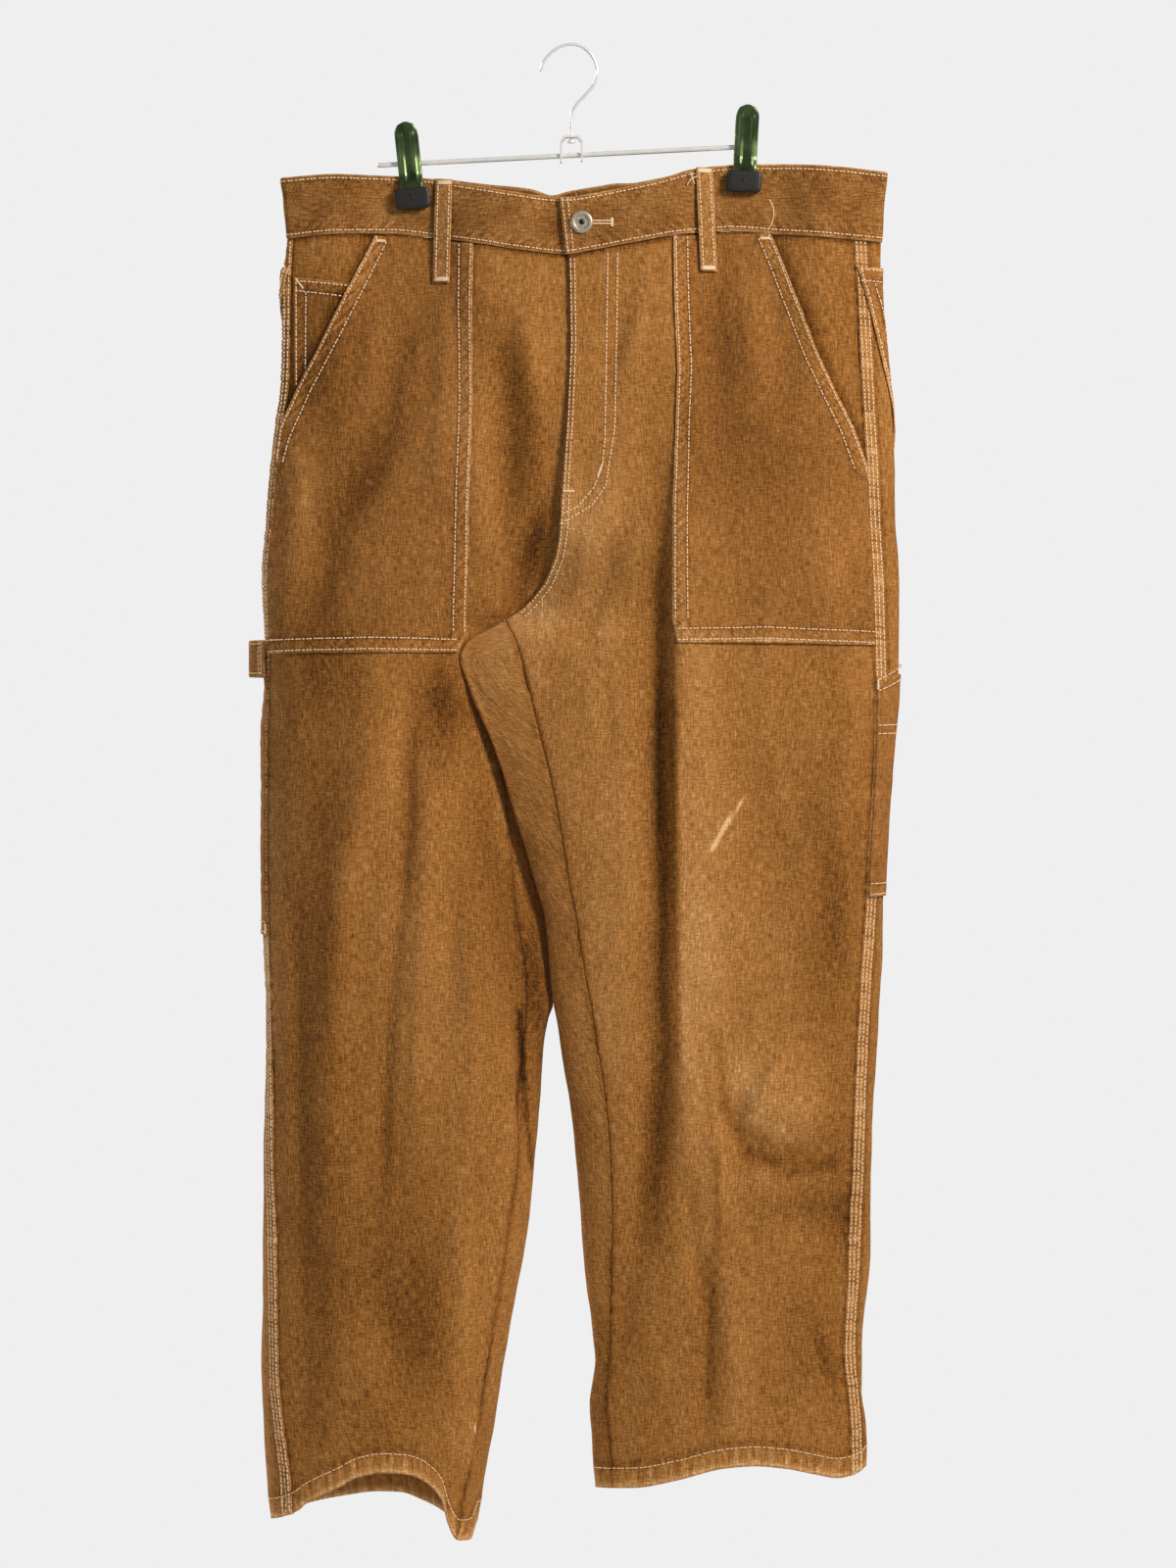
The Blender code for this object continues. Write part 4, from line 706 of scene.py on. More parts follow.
# plain finishes: two tones, roughness, metal, waves a metre and the bump's depth in metres
plainFinishes = {
    "polyesterTopstitch": ("#f3d9b6", "#ecc79a", 0.5, 0.0, 900.0, 0.0002),
    "nickelPlatedWire": ("#f0f1f2", "#fafafa", 0.2, 0.4, 220.0, 0.00002),
    "chromedClipSteel": ("#2b3a20", "#586b42", 0.2, 0.7, 60.0, 0.0002),
    "mouldedRubber": ("#121212", "#1b1b1b", 0.42, 0.0, 700.0, 0.0001),
    "tackButtonMetal": ("#a9a28f", "#bfb8a4", 0.34, 0.6, 500.0, 0.00004),
    "tackButtonCentre": ("#3a3733", "#24221f", 0.35, 0.8, 500.0, 0.00004),
    "paleFloor": ("#ececec", "#e6e6e6", 0.7, 0.0, 20.0, 0.0001),
}


# adds one layer's noise, times its weight, to the value below
def addLayer(tree, below, source, weight):
    return addNode(tree, "ShaderNodeMath", {"operation": "MULTIPLY_ADD", 1: weight},
                   {0: source.outputs[0], 2: below})


# an empty material and its node tree
def emptyMaterial(name):
    made = bpy.data.materials.new(name)
    made.use_nodes = True
    made.node_tree.nodes.clear()
    return made, made.node_tree


# faded cotton duck, piece dyed: twill lines, pale and dark yarns crossing, and ridges pale from wear and
# painted light, with a matt nap. The tone is the attribute of wear, painted shade and painted light plus all
# layers, read from the scale of tones. The UV map is in metres.
def cottonDuck(name, deep, mid, pale):
    made, tree = emptyMaterial(name)
    uv = addNode(tree, "ShaderNodeUVMap", {"uv_map": "weave"})
    tone = addNode(tree, "ShaderNodeAttribute", {"attribute_name": "wearAndShading"}).outputs["Fac"]
    noises = {}
    for layerName, (across, down, detail, weight) in duckLayers.items():
        place = addNode(tree, "ShaderNodeMapping", {"Scale": (across, down, 1.0)}, {"Vector": uv.outputs[0]})
        noises[layerName] = addNode(tree, "ShaderNodeTexNoise", {
            "Scale": 1.0, "Detail": detail, "Roughness": 0.6}, {"Vector": place.outputs[0]})
        tone = addLayer(tree, tone, noises[layerName], weight).outputs[0]
    centred = addNode(tree, "ShaderNodeMath", {"operation": "SUBTRACT", 1: 0.54, "use_clamp": True},
                      {0: tone})
    scale = addNode(tree, "ShaderNodeValToRGB", None, {"Fac": centred.outputs[0]})
    stops = scale.color_ramp.elements
    for k, colour in enumerate(duckEnds):
        stops[k].position, stops[k].color = float(k), (*linear(colour), 1.0)
    for position, colour in ((0.28, deep), (0.54, mid), (0.8, pale)):
        stops.new(position).color = (*linear(colour), 1.0)
    twist = addNode(tree, "ShaderNodeMapping", {"Rotation": (0.0, 0.0, math.radians(63.0))},
                    {"Vector": uv.outputs[0]})
    twill = addNode(tree, "ShaderNodeTexWave", {
        "wave_type": "BANDS", "bands_direction": "X", "Scale": 240.0, "Distortion": 1.2,
        "Detail": 1.0, "Detail Scale": 3.0}, {"Vector": twist.outputs[0]})
    height = addLayer(tree, twill.outputs[1], noises["warp"], 1.1)
    height = addLayer(tree, height.outputs[0], noises["weft"], 0.9)
    bump = addNode(tree, "ShaderNodeBump", {"Strength": 0.55, "Distance": 0.0005},
                   {"Height": height.outputs[0]})
    soft = addNode(tree, "ShaderNodeBump", {"Strength": 0.5, "Distance": 0.004},
                   {"Height": noises["crease"].outputs[0], "Normal": bump.outputs[0]})
    rough = addNode(tree, "ShaderNodeMath", {"operation": "MULTIPLY_ADD", 1: 0.14, 2: 0.8},
                    {0: noises["slub"].outputs[0]})
    shader = addNode(tree, "ShaderNodeBsdfPrincipled", {
        "Sheen Weight": 0.08, "Sheen Roughness": 0.5, "Sheen Tint": (*linear("#f0c08a"), 1.0),
        "Specular IOR Level": 0.14}, {
        "Base Color": scale.outputs[0], "Roughness": rough.outputs[0], "Normal": soft.outputs[0]})
    addNode(tree, "ShaderNodeOutputMaterial", None, {"Surface": shader.outputs[0]})
    return made


# one noise over Object coordinates varies the tone and the roughness of a plain finish
def plainFinish(name, colour, other, rough, metal, grain, bumpDepth):
    made, tree = emptyMaterial(name)
    place = addNode(tree, "ShaderNodeTexCoord")
    noise = addNode(tree, "ShaderNodeTexNoise", {"Scale": grain, "Detail": 3.0},
                    {"Vector": place.outputs["Object"]})
    mix = addNode(tree, "ShaderNodeValToRGB", None, {"Fac": noise.outputs[0]})
    for stop, position, tone in zip(mix.color_ramp.elements, (0.35, 0.7), (colour, other)):
        stop.position, stop.color = position, (*linear(tone), 1.0)
    roughness = addNode(tree, "ShaderNodeMath", {"operation": "MULTIPLY_ADD", 1: 0.12, 2: rough},
                        {0: noise.outputs[0]})
    bump = addNode(tree, "ShaderNodeBump", {"Strength": 0.3, "Distance": bumpDepth},
                   {"Height": noise.outputs[0]})
    shader = addNode(tree, "ShaderNodeBsdfPrincipled", {"Metallic": metal}, {
        "Base Color": mix.outputs[0], "Roughness": roughness.outputs[0], "Normal": bump.outputs[0]})
    addNode(tree, "ShaderNodeOutputMaterial", None, {"Surface": shader.outputs[0]})
    return made


duck, duckWaist, duckPocket = (cottonDuck(name, *tones) for name, tones in duckTones.items())
thread, steel, greenSteel, rubber, buttonMetal, buttonDark, floorPale = (
    plainFinish(name, *row) for name, row in plainFinishes.items())


# puts whole arrays into a mesh, with a UV in metres and a value of wear, painted shade and painted light at
# each point
def meshOf(name, points, faces, material, uv=None, wearAndShading=None):
    mesh = bpy.data.meshes.new(name)
    mesh.from_pydata((np.asarray(points).reshape(-1, 3) * mm).tolist(), [], np.asarray(faces).tolist())
    if uv is not None:
        loops = np.zeros(len(mesh.loops), dtype=np.int32)
        mesh.loops.foreach_get("vertex_index", loops)
        layer = mesh.uv_layers.new(name="weave")
        layer.data.foreach_set("uv", (np.asarray(uv).reshape(-1, 2)[loops] * mm).ravel())
    if wearAndShading is not None:
        field = mesh.attributes.new("wearAndShading", "FLOAT", "POINT")
        field.data.foreach_set("value", np.asarray(wearAndShading, dtype=np.float32).ravel())
    mesh.polygons.foreach_set("use_smooth", np.ones(len(mesh.polygons), dtype=bool))
    mesh.update()
    piece = bpy.data.objects.new(name, mesh)
    bpy.context.scene.collection.objects.link(piece)
    mesh.materials.append(material)
    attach(piece, "root")
    return piece


# four-cornered faces over a grid of points, facing the way of its normals
def facesOf(points, normals):
    across, down = points[:, 1:] - points[:, :-1], points[1:] - points[:-1]
    facing = np.sum(np.cross(across[:-1], down[:, :-1]) * normals[:-1, :-1])
    index = np.arange(points.shape[0] * points.shape[1]).reshape(points.shape[:2])
    a, b = index[:-1, :-1].ravel(), index[:-1, 1:].ravel()
    c, d = index[1:, 1:].ravel(), index[1:, :-1].ravel()
    return np.stack([a, d, c, b] if facing < 0.0 else [a, b, c, d], axis=1)


# a wall grown inwards from the outer side
def addWall(piece, wall):
    solid = piece.modifiers.new("wall", "SOLIDIFY")
    solid.thickness = wall * mm
    solid.offset = -1.0
    return solid


# one cloth piece: its outer surface as a grid and the wall behind it, times the share given in thick
def clothPiece(name, node, material, grid, uv, wearAndShading, wall, thick=None):
    piece = meshOf(name, grid["points"], facesOf(grid["points"], grid["normals"]), material, uv, wearAndShading)
    solid = addWall(piece, wall)
    if thick is not None:
        group = piece.vertex_groups.new(name="wall")
        flat = np.round(np.asarray(thick).ravel(), 2)
        for value in np.unique(flat):
            group.add(np.nonzero(flat == value)[0].tolist(), float(value), "REPLACE")
        solid.vertex_group = "wall"
    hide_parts(node)


# where the cloth has faded or stayed dark, and where shade is painted into folds, gaps and beside the fly and
# light onto ridges:
# x, drop, radius across, radius down, lean of its axis, change, and the leg, -1 for the right one only, 1 for
# the left one only and 0 for both
spotColumns = "x drop across down lean change leg"
fadeAndShadingSpots = rowsOf(spotColumns, [
    (150, 792, 44, 36, 0, 0.09, 0),
    (30, 640, 26, 170, 0, 0.1, 0),
    (14, 366, 24, 34, 0, 0.12, 0),
    (4, 430, 40, 40, 0, 0.1, 0),
    (100, 680, 26, 130, 0, 0.12, 0),
    (196, 640, 22, 150, 0, -0.1, 0),
    (-192, 640, 22, 240, 0, -0.12, 0),
    (-190, 930, 26, 120, 0, -0.14, 0),
    (-120, 980, 30, 80, 0, -0.12, 0),
    (-50, 240, 15, 50, 0.35, -0.14, 0),
    (-32, 310, 13, 60, 0.12, -0.2, 0),
    (-27, 384, 10, 34, -0.25, -0.46, -1),
    (71, 650, 9, 190, 0, -0.3, 1),
    (68, 400, 7, 60, 0, -0.12, 0),
    (120, 210, 22, 60, 0.1, -0.1, 0),
    (90, 330, 18, 90, 0, -0.06, 0),
    (-135, 300, 16, 90, -0.4, -0.1, 0),
    (-185, 200, 22, 40, 0, -0.06, 0),
    (160, 850, 44, 9, 0, -0.1, 0),
    (40, 1000, 30, 70, 0, -0.06, 0),
    (-45, 700, 10, 120, 0.15, -0.1, 0),
    (104, 1000, 8, 60, 0.1, -0.1, 0),
    (-186, 480, 44, 40, 0, -0.12, -1),
    (-150, 560, 50, 90, 0, -0.1, -1),
    (-150, 880, 48, 120, 0, -0.12, -1),
    (-97, 505, 18, 38, 0, -0.3, -1),
    (-107, 962, 14, 70, 0.1, -0.1, -1),
    (-133, 540, 8, 60, -0.1, 0.14, -1),
    (-28, 705, 8, 60, 0.08, -0.34, -1),
    (-20, 780, 9, 60, 0, -0.14, -1),
    (140, 318, 46, 70, 0, -0.12, 1),
    (62, 850, 9, 90, -0.06, -0.2, 1),
    (-40, 440, 26, 16, 0, 0.24, 1),
    (-196, 240, 26, 52, 0, -0.2, -1),
    (200, 205, 22, 60, 0, -0.06, 1),
    (-52, 470, 24, 26, 0.3, 0.1, 1),
    (80, 1060, 60, 40, 0, -0.06, 1),
    (-204, 345, 12, 80, 0.1, 0.12, -1),
    (-228, 700, 9, 380, 0, 0.1, -1),
    (-70, 640, 13, 170, 0, -0.12, -1),
    (-180, 690, 14, 90, 0, -0.08, -1),
    (-150, 1056, 40, 26, 0, -0.1, -1),
    (-44, 350, 10, 60, 0.08, -0.1, -1),
    (-12, 370, 8, 70, -0.1, 0.2, 1),
    (206, 640, 16, 130, 0, -0.14, 1),
    (205, 880, 16, 60, 0, -0.14, 1),
    (176, 886, 34, 12, 0, -0.14, 1),
    (152, 690, 24, 44, 0, 0.1, 1),
    (192, 1000, 6, 34, 0.25, -0.22, 1),
    (186, 990, 30, 70, 0, -0.08, 1),
])
# the same on the back: the seat and the backs of the thighs are faded, with painted shade in the knees'
# creases, down the sides and along the seams
seatFadeAndShadingSpots = rowsOf(spotColumns, [
    (-112, 405, 56, 46, 0, 0.14, -1),
    (112, 405, 60, 46, 0, 0.14, 1),
    (-132, 620, 32, 170, 0, 0.1, -1),
    (118, 620, 34, 170, 0, 0.1, 1),
    (-130, 822, 66, 12, 0, -0.14, -1),
    (104, 842, 78, 12, 0, -0.14, 1),
    (-64, 600, 14, 210, 0, -0.12, -1),
    (24, 620, 18, 230, 0, -0.14, 1),
    (-130, 1000, 40, 80, 0, -0.1, -1),
    (110, 1000, 44, 80, 0, -0.1, 1),
    (-20, 300, 10, 110, 0, -0.08, 0),
    (-205, 700, 20, 300, 0, -0.08, -1),
    (205, 700, 20, 300, 0, -0.08, 1),
])
# the rubbed mark on the left thigh and two specks; painted shade in the knee's arc with painted light above
# its dark line, painted shade and light on the edges of the long fold, and painted shade in the crease that
# leads it to the hem and in the slit inside the right knee
rubbedAndShadingMarks = rowsOf("xTop dropTop xLow dropLow width change", [
    (133.5, 573, 120, 592, 0.9, 0.5), (120, 592, 107, 614, 1.5, 0.75),
    (-153, 335, -152, 336, 0.9, 0.9), (-73, 1052, -73.5, 1056, 0.8, 0.8),
    (110, 752, 116, 806, 5, -0.16), (117, 808, 134, 843, 5, -0.16),
    (136, 846, 166, 860, 5, -0.2), (170, 861, 200, 853, 5, -0.16),
    (128, 780, 142, 818, 8, 0.05), (146, 824, 190, 842, 7, 0.1),
    (66.5, 470, 66.5, 600, 2.6, -0.14), (77.5, 500, 80.5, 776, 2.6, -0.18),
    (83.5, 520, 87, 776, 3.6, 0.07), (98, 760, 110, 850, 2.6, -0.12),
    (110.5, 852, 111, 900, 2.6, -0.12), (110.5, 902, 104, 1032, 2.6, -0.14),
    (-40, 738, -36, 790, 2.4, -0.4), (-36, 792, -30.5, 856, 2, -0.3),
])


# change of tone by all spots of a table, fading and painted shade and light: a bell across and down each,
# leaning with its axis
def fadeAndShadingAt(spots, side, x, drop):
    total = np.zeros_like(x)
    for sx, sd, across, down, lean, change, leg in zip(*[spots[name] for name in spotColumns.split()]):
        if leg * outwardOf[side] < 0.0:
            continue
        offX = x - sx - lean * (drop - sd)
        total = total + change * np.exp(-(offX / across) ** 2 - ((drop - sd) / down) ** 2)
    return total


# change of tone by the rubbed lines and by the lines of painted shade and light: a bell over the distance
# from each
def rubbedAndShadingAt(x, drop):
    total = np.zeros_like(x)
    for ax, ad, bx, bd, width, change in zip(*rubbedAndShadingMarks.values()):
        _, offX, offDrop = fromSegment(x, drop, (ax, ad), (bx, bd))
        total = total + change * bell(np.hypot(offX, offDrop) / width, 0.0, 1.0)
    return total


panels = {(side, back): panelGrid(side, back) for side in ("r", "l") for back in (False, True)}
print("panels worked out")


# distance of places from the nearest of some lines of points
def nearLines(a, b, lines):
    best = np.full(a.shape, 1e9)
    for line in lines:
        line = np.array(line, dtype=float)
        for start, end in zip(line[:-1], line[1:]):
            best = np.minimum(best, np.hypot(*fromSegment(a, b, start, end)[1:]))
    return best


mouthLines = {
    "r": [(-150.5, 145.5), (-173, 190), (-190.5, 228), (-208, 262), (-223.5, 298),
          (-229, 318)],
    "l": [(152.5, 143.5), (164, 171), (175.5, 201), (188.5, 238), (201.5, 267),
          (214, 292), (225, 322)],
}


# tone of a panel: faded and rubbed spots with painted shade and light among them, painted shade in folds and
# painted light on ridges, painted shadow beside seams, under the waistband and under the pocket's mouth, a
# darker line just above the hem, pale along the hem's edge, with roping at the hem and along the fell
def wearAndShadingOf(panel):
    x, drop, length, level = panel["points"][..., 0], panel["drop"], panel["length"], panel["level"]
    facing = panel["normals"][..., 1] < 0.2
    wearAndShading = (fadeAndShadingAt(fadeAndShadingSpots, panel["side"], x, drop) + rubbedAndShadingAt(x, drop)) * facing
    wearAndShading = wearAndShading + fadeAndShadingAt(seatFadeAndShadingSpots, panel["side"], x, drop) * (1.0 - facing)
    # painted shade in the folds and painted light on raised cloth
    wearAndShading = wearAndShading - 0.012 * np.clip(panel["folds"], -5.0, 6.0) + 0.05 * panel["rise"]
    if not panel["back"]:
        # painted shadow under the pocket's mouth
        wearAndShading = wearAndShading - 0.3 * bell(nearLines(x, drop, [mouthLines[panel["side"]]]), 0.0, 7.0)
    # painted shadow under the waistband's lower edge
    wearAndShading = wearAndShading - 0.34 * bell(level, cloth["waistSeam"], 2.6)
    wearAndShading = wearAndShading + 0.34 * bell(level, 1118.5, 3.0)
    wearAndShading = wearAndShading + 0.16 * bell(level, 1111.0, 6.0) * (0.5 + ripple(length, 8.0, 3))
    wearAndShading = wearAndShading - 0.12 * bell(level, 1101.0, 3.0)
    if panel["back"]:
        wearAndShading = wearAndShading + 0.1 * (1.0 - ramp(length, 8.0, 10.5)) * (0.6 + 1.6 * ripple(drop, 6.0, 4))
        # painted shadow beside the fell's edge
        wearAndShading = wearAndShading - 0.2 * bell(length, 11.6, 1.6)
    else:
        # painted shadow under the back's fell at the outseam
        wearAndShading = wearAndShading - 0.2 * bell(length, 0.0, 2.4)
    # painted shade along the panel's inner edge
    gap = np.linalg.norm(panel["points"] - panel["points"][:, -1:, :], axis=2)
    return wearAndShading - 0.16 * bell(gap, 0.0, 3.0)


# walls in millimetres: single cloth takes half of the hem's, which is turned up from this level down
panelWall = {"hem": 2.8, "single": 0.5, "turnUp": 1104.0}
for (side, back), panel in panels.items():
    face = "back" if back else "front"
    uv = np.stack([panel["length"], -panel["drop"]], axis=2)
    thick = panelWall["single"] + (1.0 - panelWall["single"]) * (panel["level"] >= panelWall["turnUp"])
    clothPiece(face + "_cloth_" + side, face + "_panel_" + side, duck, panel, uv,
               wearAndShadingOf(panel), panelWall["hem"], thick)
print("panels made")

# waistband: out is how far it stands off the body, depth its height, wall its thickness
bandShape = {"out": 1.6, "underlap": 24.0, "setBack": 3.4, "rows": 22, "columns": 250, "depth": 46.0,
             "wall": 2.9}


# one half of the band: rows from the waist's top line to its seam, each round from the front end to the
# centre back, rounded at both edges, with a groove, puckers and roping along the stitching
def bandGrid(side):
    parts = 0.5 - 0.5 * np.cos(np.linspace(0.0, math.pi, bandShape["rows"]))
    rows = []
    for part in parts:
        level = cloth["bandTop"] + part * (cloth["waistSeam"] - cloth["bandTop"])
        end = -9.5 + 5.0 * part if side == "l" else bandShape["underlap"] - 6.0 * part
        path = outlineFrom(side, level, end)
        lengths = lengthsOf(path)
        places = np.linspace(0.0, lengths[-1] - 0.1, bandShape["columns"])
        x, y, nx, ny = pointsOn(path, lengths, places, outwardOf[side])
        back = ramp(ny, -0.3, 0.3)
        top = at(waistTop, "drop", x)
        drop = top + (at(waistBottom, "drop", x) - top) * part - back * backRaise(x)
        if side == "r":
            y = y + bandShape["setBack"] * ramp(x, -40.0, -13.0) * (ny < 0.0)
        rows.append((x, y, drop, nx, ny, places, 0.0 * x + part))
    x, y, drop, nx, ny, length, part = (np.array([row[k] for row in rows]) for k in range(7))
    rough = np.stack([nx, ny, 0.0 * nx], axis=2)
    edge = np.minimum(part, 1.0 - part) * bandShape["depth"]
    seed = 3.0 if side == "r" else 5.0
    rise = -1.0 * (1.0 - np.sqrt(np.clip(edge / 1.6, 0.0, 1.0)))
    rise = rise - 0.35 * bell(edge, 3.0, 1.0)
    rise = rise + 0.3 * bell(edge, 6.5, 3.0) * ripple(length + 9.0 * part, 8.0, seed)
    rise = rise + 0.4 * mottle(length, part * bandShape["depth"], 30.0, seed)
    away = 1.0
    for held in cloth["clipX"].values():
        away = away * ramp(np.abs(x - held), 15.0, 30.0)
    rise = np.minimum(rise, 0.35) * (0.25 + 0.75 * away)
    points = np.stack([x, y, -drop], axis=2) + rough * (bandShape["out"] + rise)[..., None]
    return {"points": points, "normals": gridNormals(points, rough), "length": length,
            "drop": drop, "part": part, "rise": rise, "edge": edge}


bands = {side: bandGrid(side) for side in ("r", "l")}
for side, band in bands.items():
    edge, length, drop = band["edge"], band["length"], band["drop"]
    # pale at the worn edges and roped along the stitching, with painted light on raised cloth and painted
    # shade in the stitching's groove
    roping = bell(edge, 7.0, 4.0) * ripple(length + edge, 7.0, 6)
    wearAndShading = -0.02 + 0.3 * bell(edge, 0.0, 1.3) + 0.12 * band["rise"] + 0.16 * roping
    wearAndShading = wearAndShading - 0.1 * bell(edge, 3.2, 0.8) + 0.05 * mottle(length, drop, 40.0, 2)
    if side == "l":
        wearAndShading = wearAndShading + 0.14 * bell(length, 0.0, 2.0)
    clothPiece("waistband_cloth_" + side, "waistband_" + side, duckWaist, band,
               np.stack([-drop, length], axis=2), wearAndShading, bandShape["wall"])
print("waistband made")


# pockets: a grid between a left and a right border, laid on a panel
def patchGrid(panel, left, right, rows, columns, lift):
    part = np.linspace(0.0, 1.0, rows)
    borders = []
    for border in (left, right):
        border = np.array(border, dtype=float)
        gone = lengthsOf(border)
        borders.append(np.stack([np.interp(part * gone[-1], gone, border[:, k]) for k in (0, 1)], axis=1))
    across = 0.5 - 0.5 * np.cos(np.linspace(0.0, math.pi, columns))
    across = (0.6 * across + 0.4 * np.linspace(0.0, 1.0, columns))[None, :, None]
    flat = borders[0][:, None] * (1 - across) + borders[1][:, None] * across
    a, b = flat[..., 0], flat[..., 1]
    points, normals = onPanel(panel, a, b, lift(a, b))
    return {"points": points, "normals": normals, "a": a, "b": b}


patchShape = {"rows": 150, "columns": 80, "wall": 1.15, "rim": 10.2, "stitchRows": (1.8, 10.2),
              "stitchLift": 0.22}
patchPockets = {
    "r": {
        "left": [(-150.5, 145.5), (-173, 190), (-190.5, 228), (-208, 262), (-223.5, 298),
                 (-229, 318), (-230, 360), (-231.5, 410), (-230.5, 465.5)],
        "right": [(-74.5, 152.5), (-75, 205), (-75, 274), (-77, 335), (-78, 384),
                  (-81, 449), (-88, 464.5)],
        "mouth": mouthLines["r"], "inside": "right", "seed": 2.0,
        "bottom": [(-230.5, 465.5), (-160, 464.5), (-88, 464.5)],
    },
    "l": {
        "left": [(77.5, 147), (78, 198), (80.5, 249), (79, 303), (77.5, 354), (77.5, 403),
                 (78, 440), (81, 457.5)],
        "right": [(152.5, 143.5), (164, 171), (175.5, 201), (188.5, 238), (201.5, 267),
                  (214, 292), (225, 322), (227, 370), (229.5, 420), (230.5, 459)],
        "mouth": mouthLines["l"], "inside": "left", "seed": 3.0,
        "bottom": [(81, 457.5), (146, 456), (230.5, 459)],
    },
}


# how far a patch pocket stands off the panel: its cloth, the mouth that gapes, a turned rim between two
# grooves of stitching, and puckers along them
def patchLift(pocket, above=0.0):
    seed = pocket["seed"]

    def lift(a, b):
        mouth = nearLines(a, b, [pocket["mouth"]])
        gape = (1.0 - ramp(mouth, 60.0, 100.0)) * ramp(b, 150.0, 200.0) * (1.0 - ramp(b, 300.0, 340.0))
        edge = np.minimum(mouth, nearLines(a, b, [pocket[pocket["inside"]], pocket["bottom"]]))
        rim = 0.35 * (1.0 - ramp(edge, 9.5, 12.5)) - 0.3 * bell(edge, patchShape["rim"], 1.1)
        rim = rim - 0.3 * bell(edge, 1.8, 0.8)
        draw = 0.4 * bell(edge, 5.5, 3.6) * ripple(a + b, 7.0, seed)
        draw = draw + 0.3 * bell(edge, 16.0, 6.0) * ripple(a + b, 13.0, seed + 1)
        return 1.5 + 1.1 * gape + rim + draw + 0.25 * (1.0 + mottle(a, b, 34.0, seed)) + above
    return lift


# tone along a pocket's sewn borders: pale at the worn edge, painted shadow at the turned rim's end, roped
# between
def borderWearAndShading(grid, lines, width):
    edge = nearLines(grid["a"], grid["b"], lines)
    wearAndShading = 0.36 * bell(edge, 0.0, 1.4) - 0.2 * bell(edge, width, 1.3)
    roping = ripple(grid["a"] + grid["b"], 6.0, 3)
    return wearAndShading + (0.08 + 0.2 * roping) * bell(edge, width / 2.0, 3.6)


for side, pocket in patchPockets.items():
    grid = patchGrid(panels[side, False], pocket["left"], pocket["right"], patchShape["rows"],
                     patchShape["columns"], patchLift(pocket))
    a, b = grid["a"], grid["b"]
    lines = [pocket["mouth"], pocket["bottom"], pocket[pocket["inside"]]]
    # the panel's spots of fading and of painted shade and light, and painted shade in the pocket's folds
    wearAndShading = borderWearAndShading(grid, lines, patchShape["rim"]) + fadeAndShadingAt(fadeAndShadingSpots, side, a, b) - 0.03
    wearAndShading = wearAndShading + rubbedAndShadingAt(a, b) - 0.02 * foldsAt(frontFolds[side], a, b)
    clothPiece("patch_pocket_cloth_" + side, "patch_pocket_" + side, duckPocket,
               grid, np.stack([a, -b], axis=2), wearAndShading, patchShape["wall"])

# pockets sewn down flat: the panel, both borders, lift and wall, rows and columns, and the sewn lines
flatPockets = {
    "coin_pocket": {
        "panel": ("r", False), "left": [(-212, 178), (-211, 262)],
        "right": [(-169.5, 182.5), (-173.5, 190), (-175, 262)], "lift": 1.0, "wall": 0.7, "size": (50, 26),
        "lines": [[(-212, 178), (-169.5, 182.5)], [(-212, 178), (-211, 262)]]},
    "ruler_pocket_l": {
        "panel": ("l", True), "left": [(1, 484), (1, 651)], "right": [(120, 470), (120, 645)],
        "lift": 1.8, "wall": 1.1, "size": (80, 60),
        "lines": [[(1, 484), (26, 472), (120, 470)], [(120, 470), (120, 645)], [(1, 651), (120, 645)]]},
    "tool_pocket_r": {
        "panel": ("r", True), "left": [(1, 470), (1, 680)], "right": [(140, 470), (140, 668)],
        "lift": 1.8, "wall": 1.1, "size": (90, 66),
        "lines": [[(1, 470), (140, 470)], [(140, 470), (140, 668)], [(1, 680), (140, 668)]]},
}
for side in ("r", "l"):
    flatPockets["back_pocket_" + side] = {
        "panel": (side, True), "left": [(1.5, 170), (36, 324), (98, 342)],
        "right": [(170, 176), (174, 310), (98, 342.5)], "lift": 1.8, "wall": 1.1, "size": (90, 66),
        "lines": [[(1.5, 170), (170, 176)], [(170, 176), (174, 310), (98, 342)],
                  [(98, 342), (36, 324), (1.5, 170)]]}


# how far a flat pocket stands off: its lift, a turned rim and puckers, less of both on thin cloth
def flatLift(pocket):
    share = 1.0 if pocket["wall"] > 1.0 else 0.4

    def lift(a, b):
        edge = nearLines(a, b, pocket["lines"])
        rim = 0.3 * (1.0 - ramp(edge, 9.0, 11.5)) - 0.25 * bell(edge, 9.6, 1.0)
        draw = 0.22 * bell(edge, 5.0, 4.0) * ripple(a + b, 7.0, 4)
        return pocket["lift"] + (rim + draw) * share
    return lift


for name, pocket in flatPockets.items():
    grid = patchGrid(panels[pocket["panel"]], pocket["left"], pocket["right"], *pocket["size"],
                     flatLift(pocket))
    a, b = grid["a"], grid["b"]
    wearAndShading = borderWearAndShading(grid, pocket["lines"], 9.6) - 0.02 + 0.05 * mottle(a, b, 60.0, 3)
    if name == "coin_pocket":
        # the coin pocket in painted shade, deepest where the patch pocket's mouth would shade it
        wearAndShading = wearAndShading - 0.12 - 0.3 * bell(nearLines(a, b, [mouthLines["r"]]), 0.0, 7.0)
    clothPiece(name.replace("pocket", "pocket_cloth"), name, duckPocket, grid,
               np.stack([a, -b], axis=2), wearAndShading, pocket["wall"])
print("pockets made")


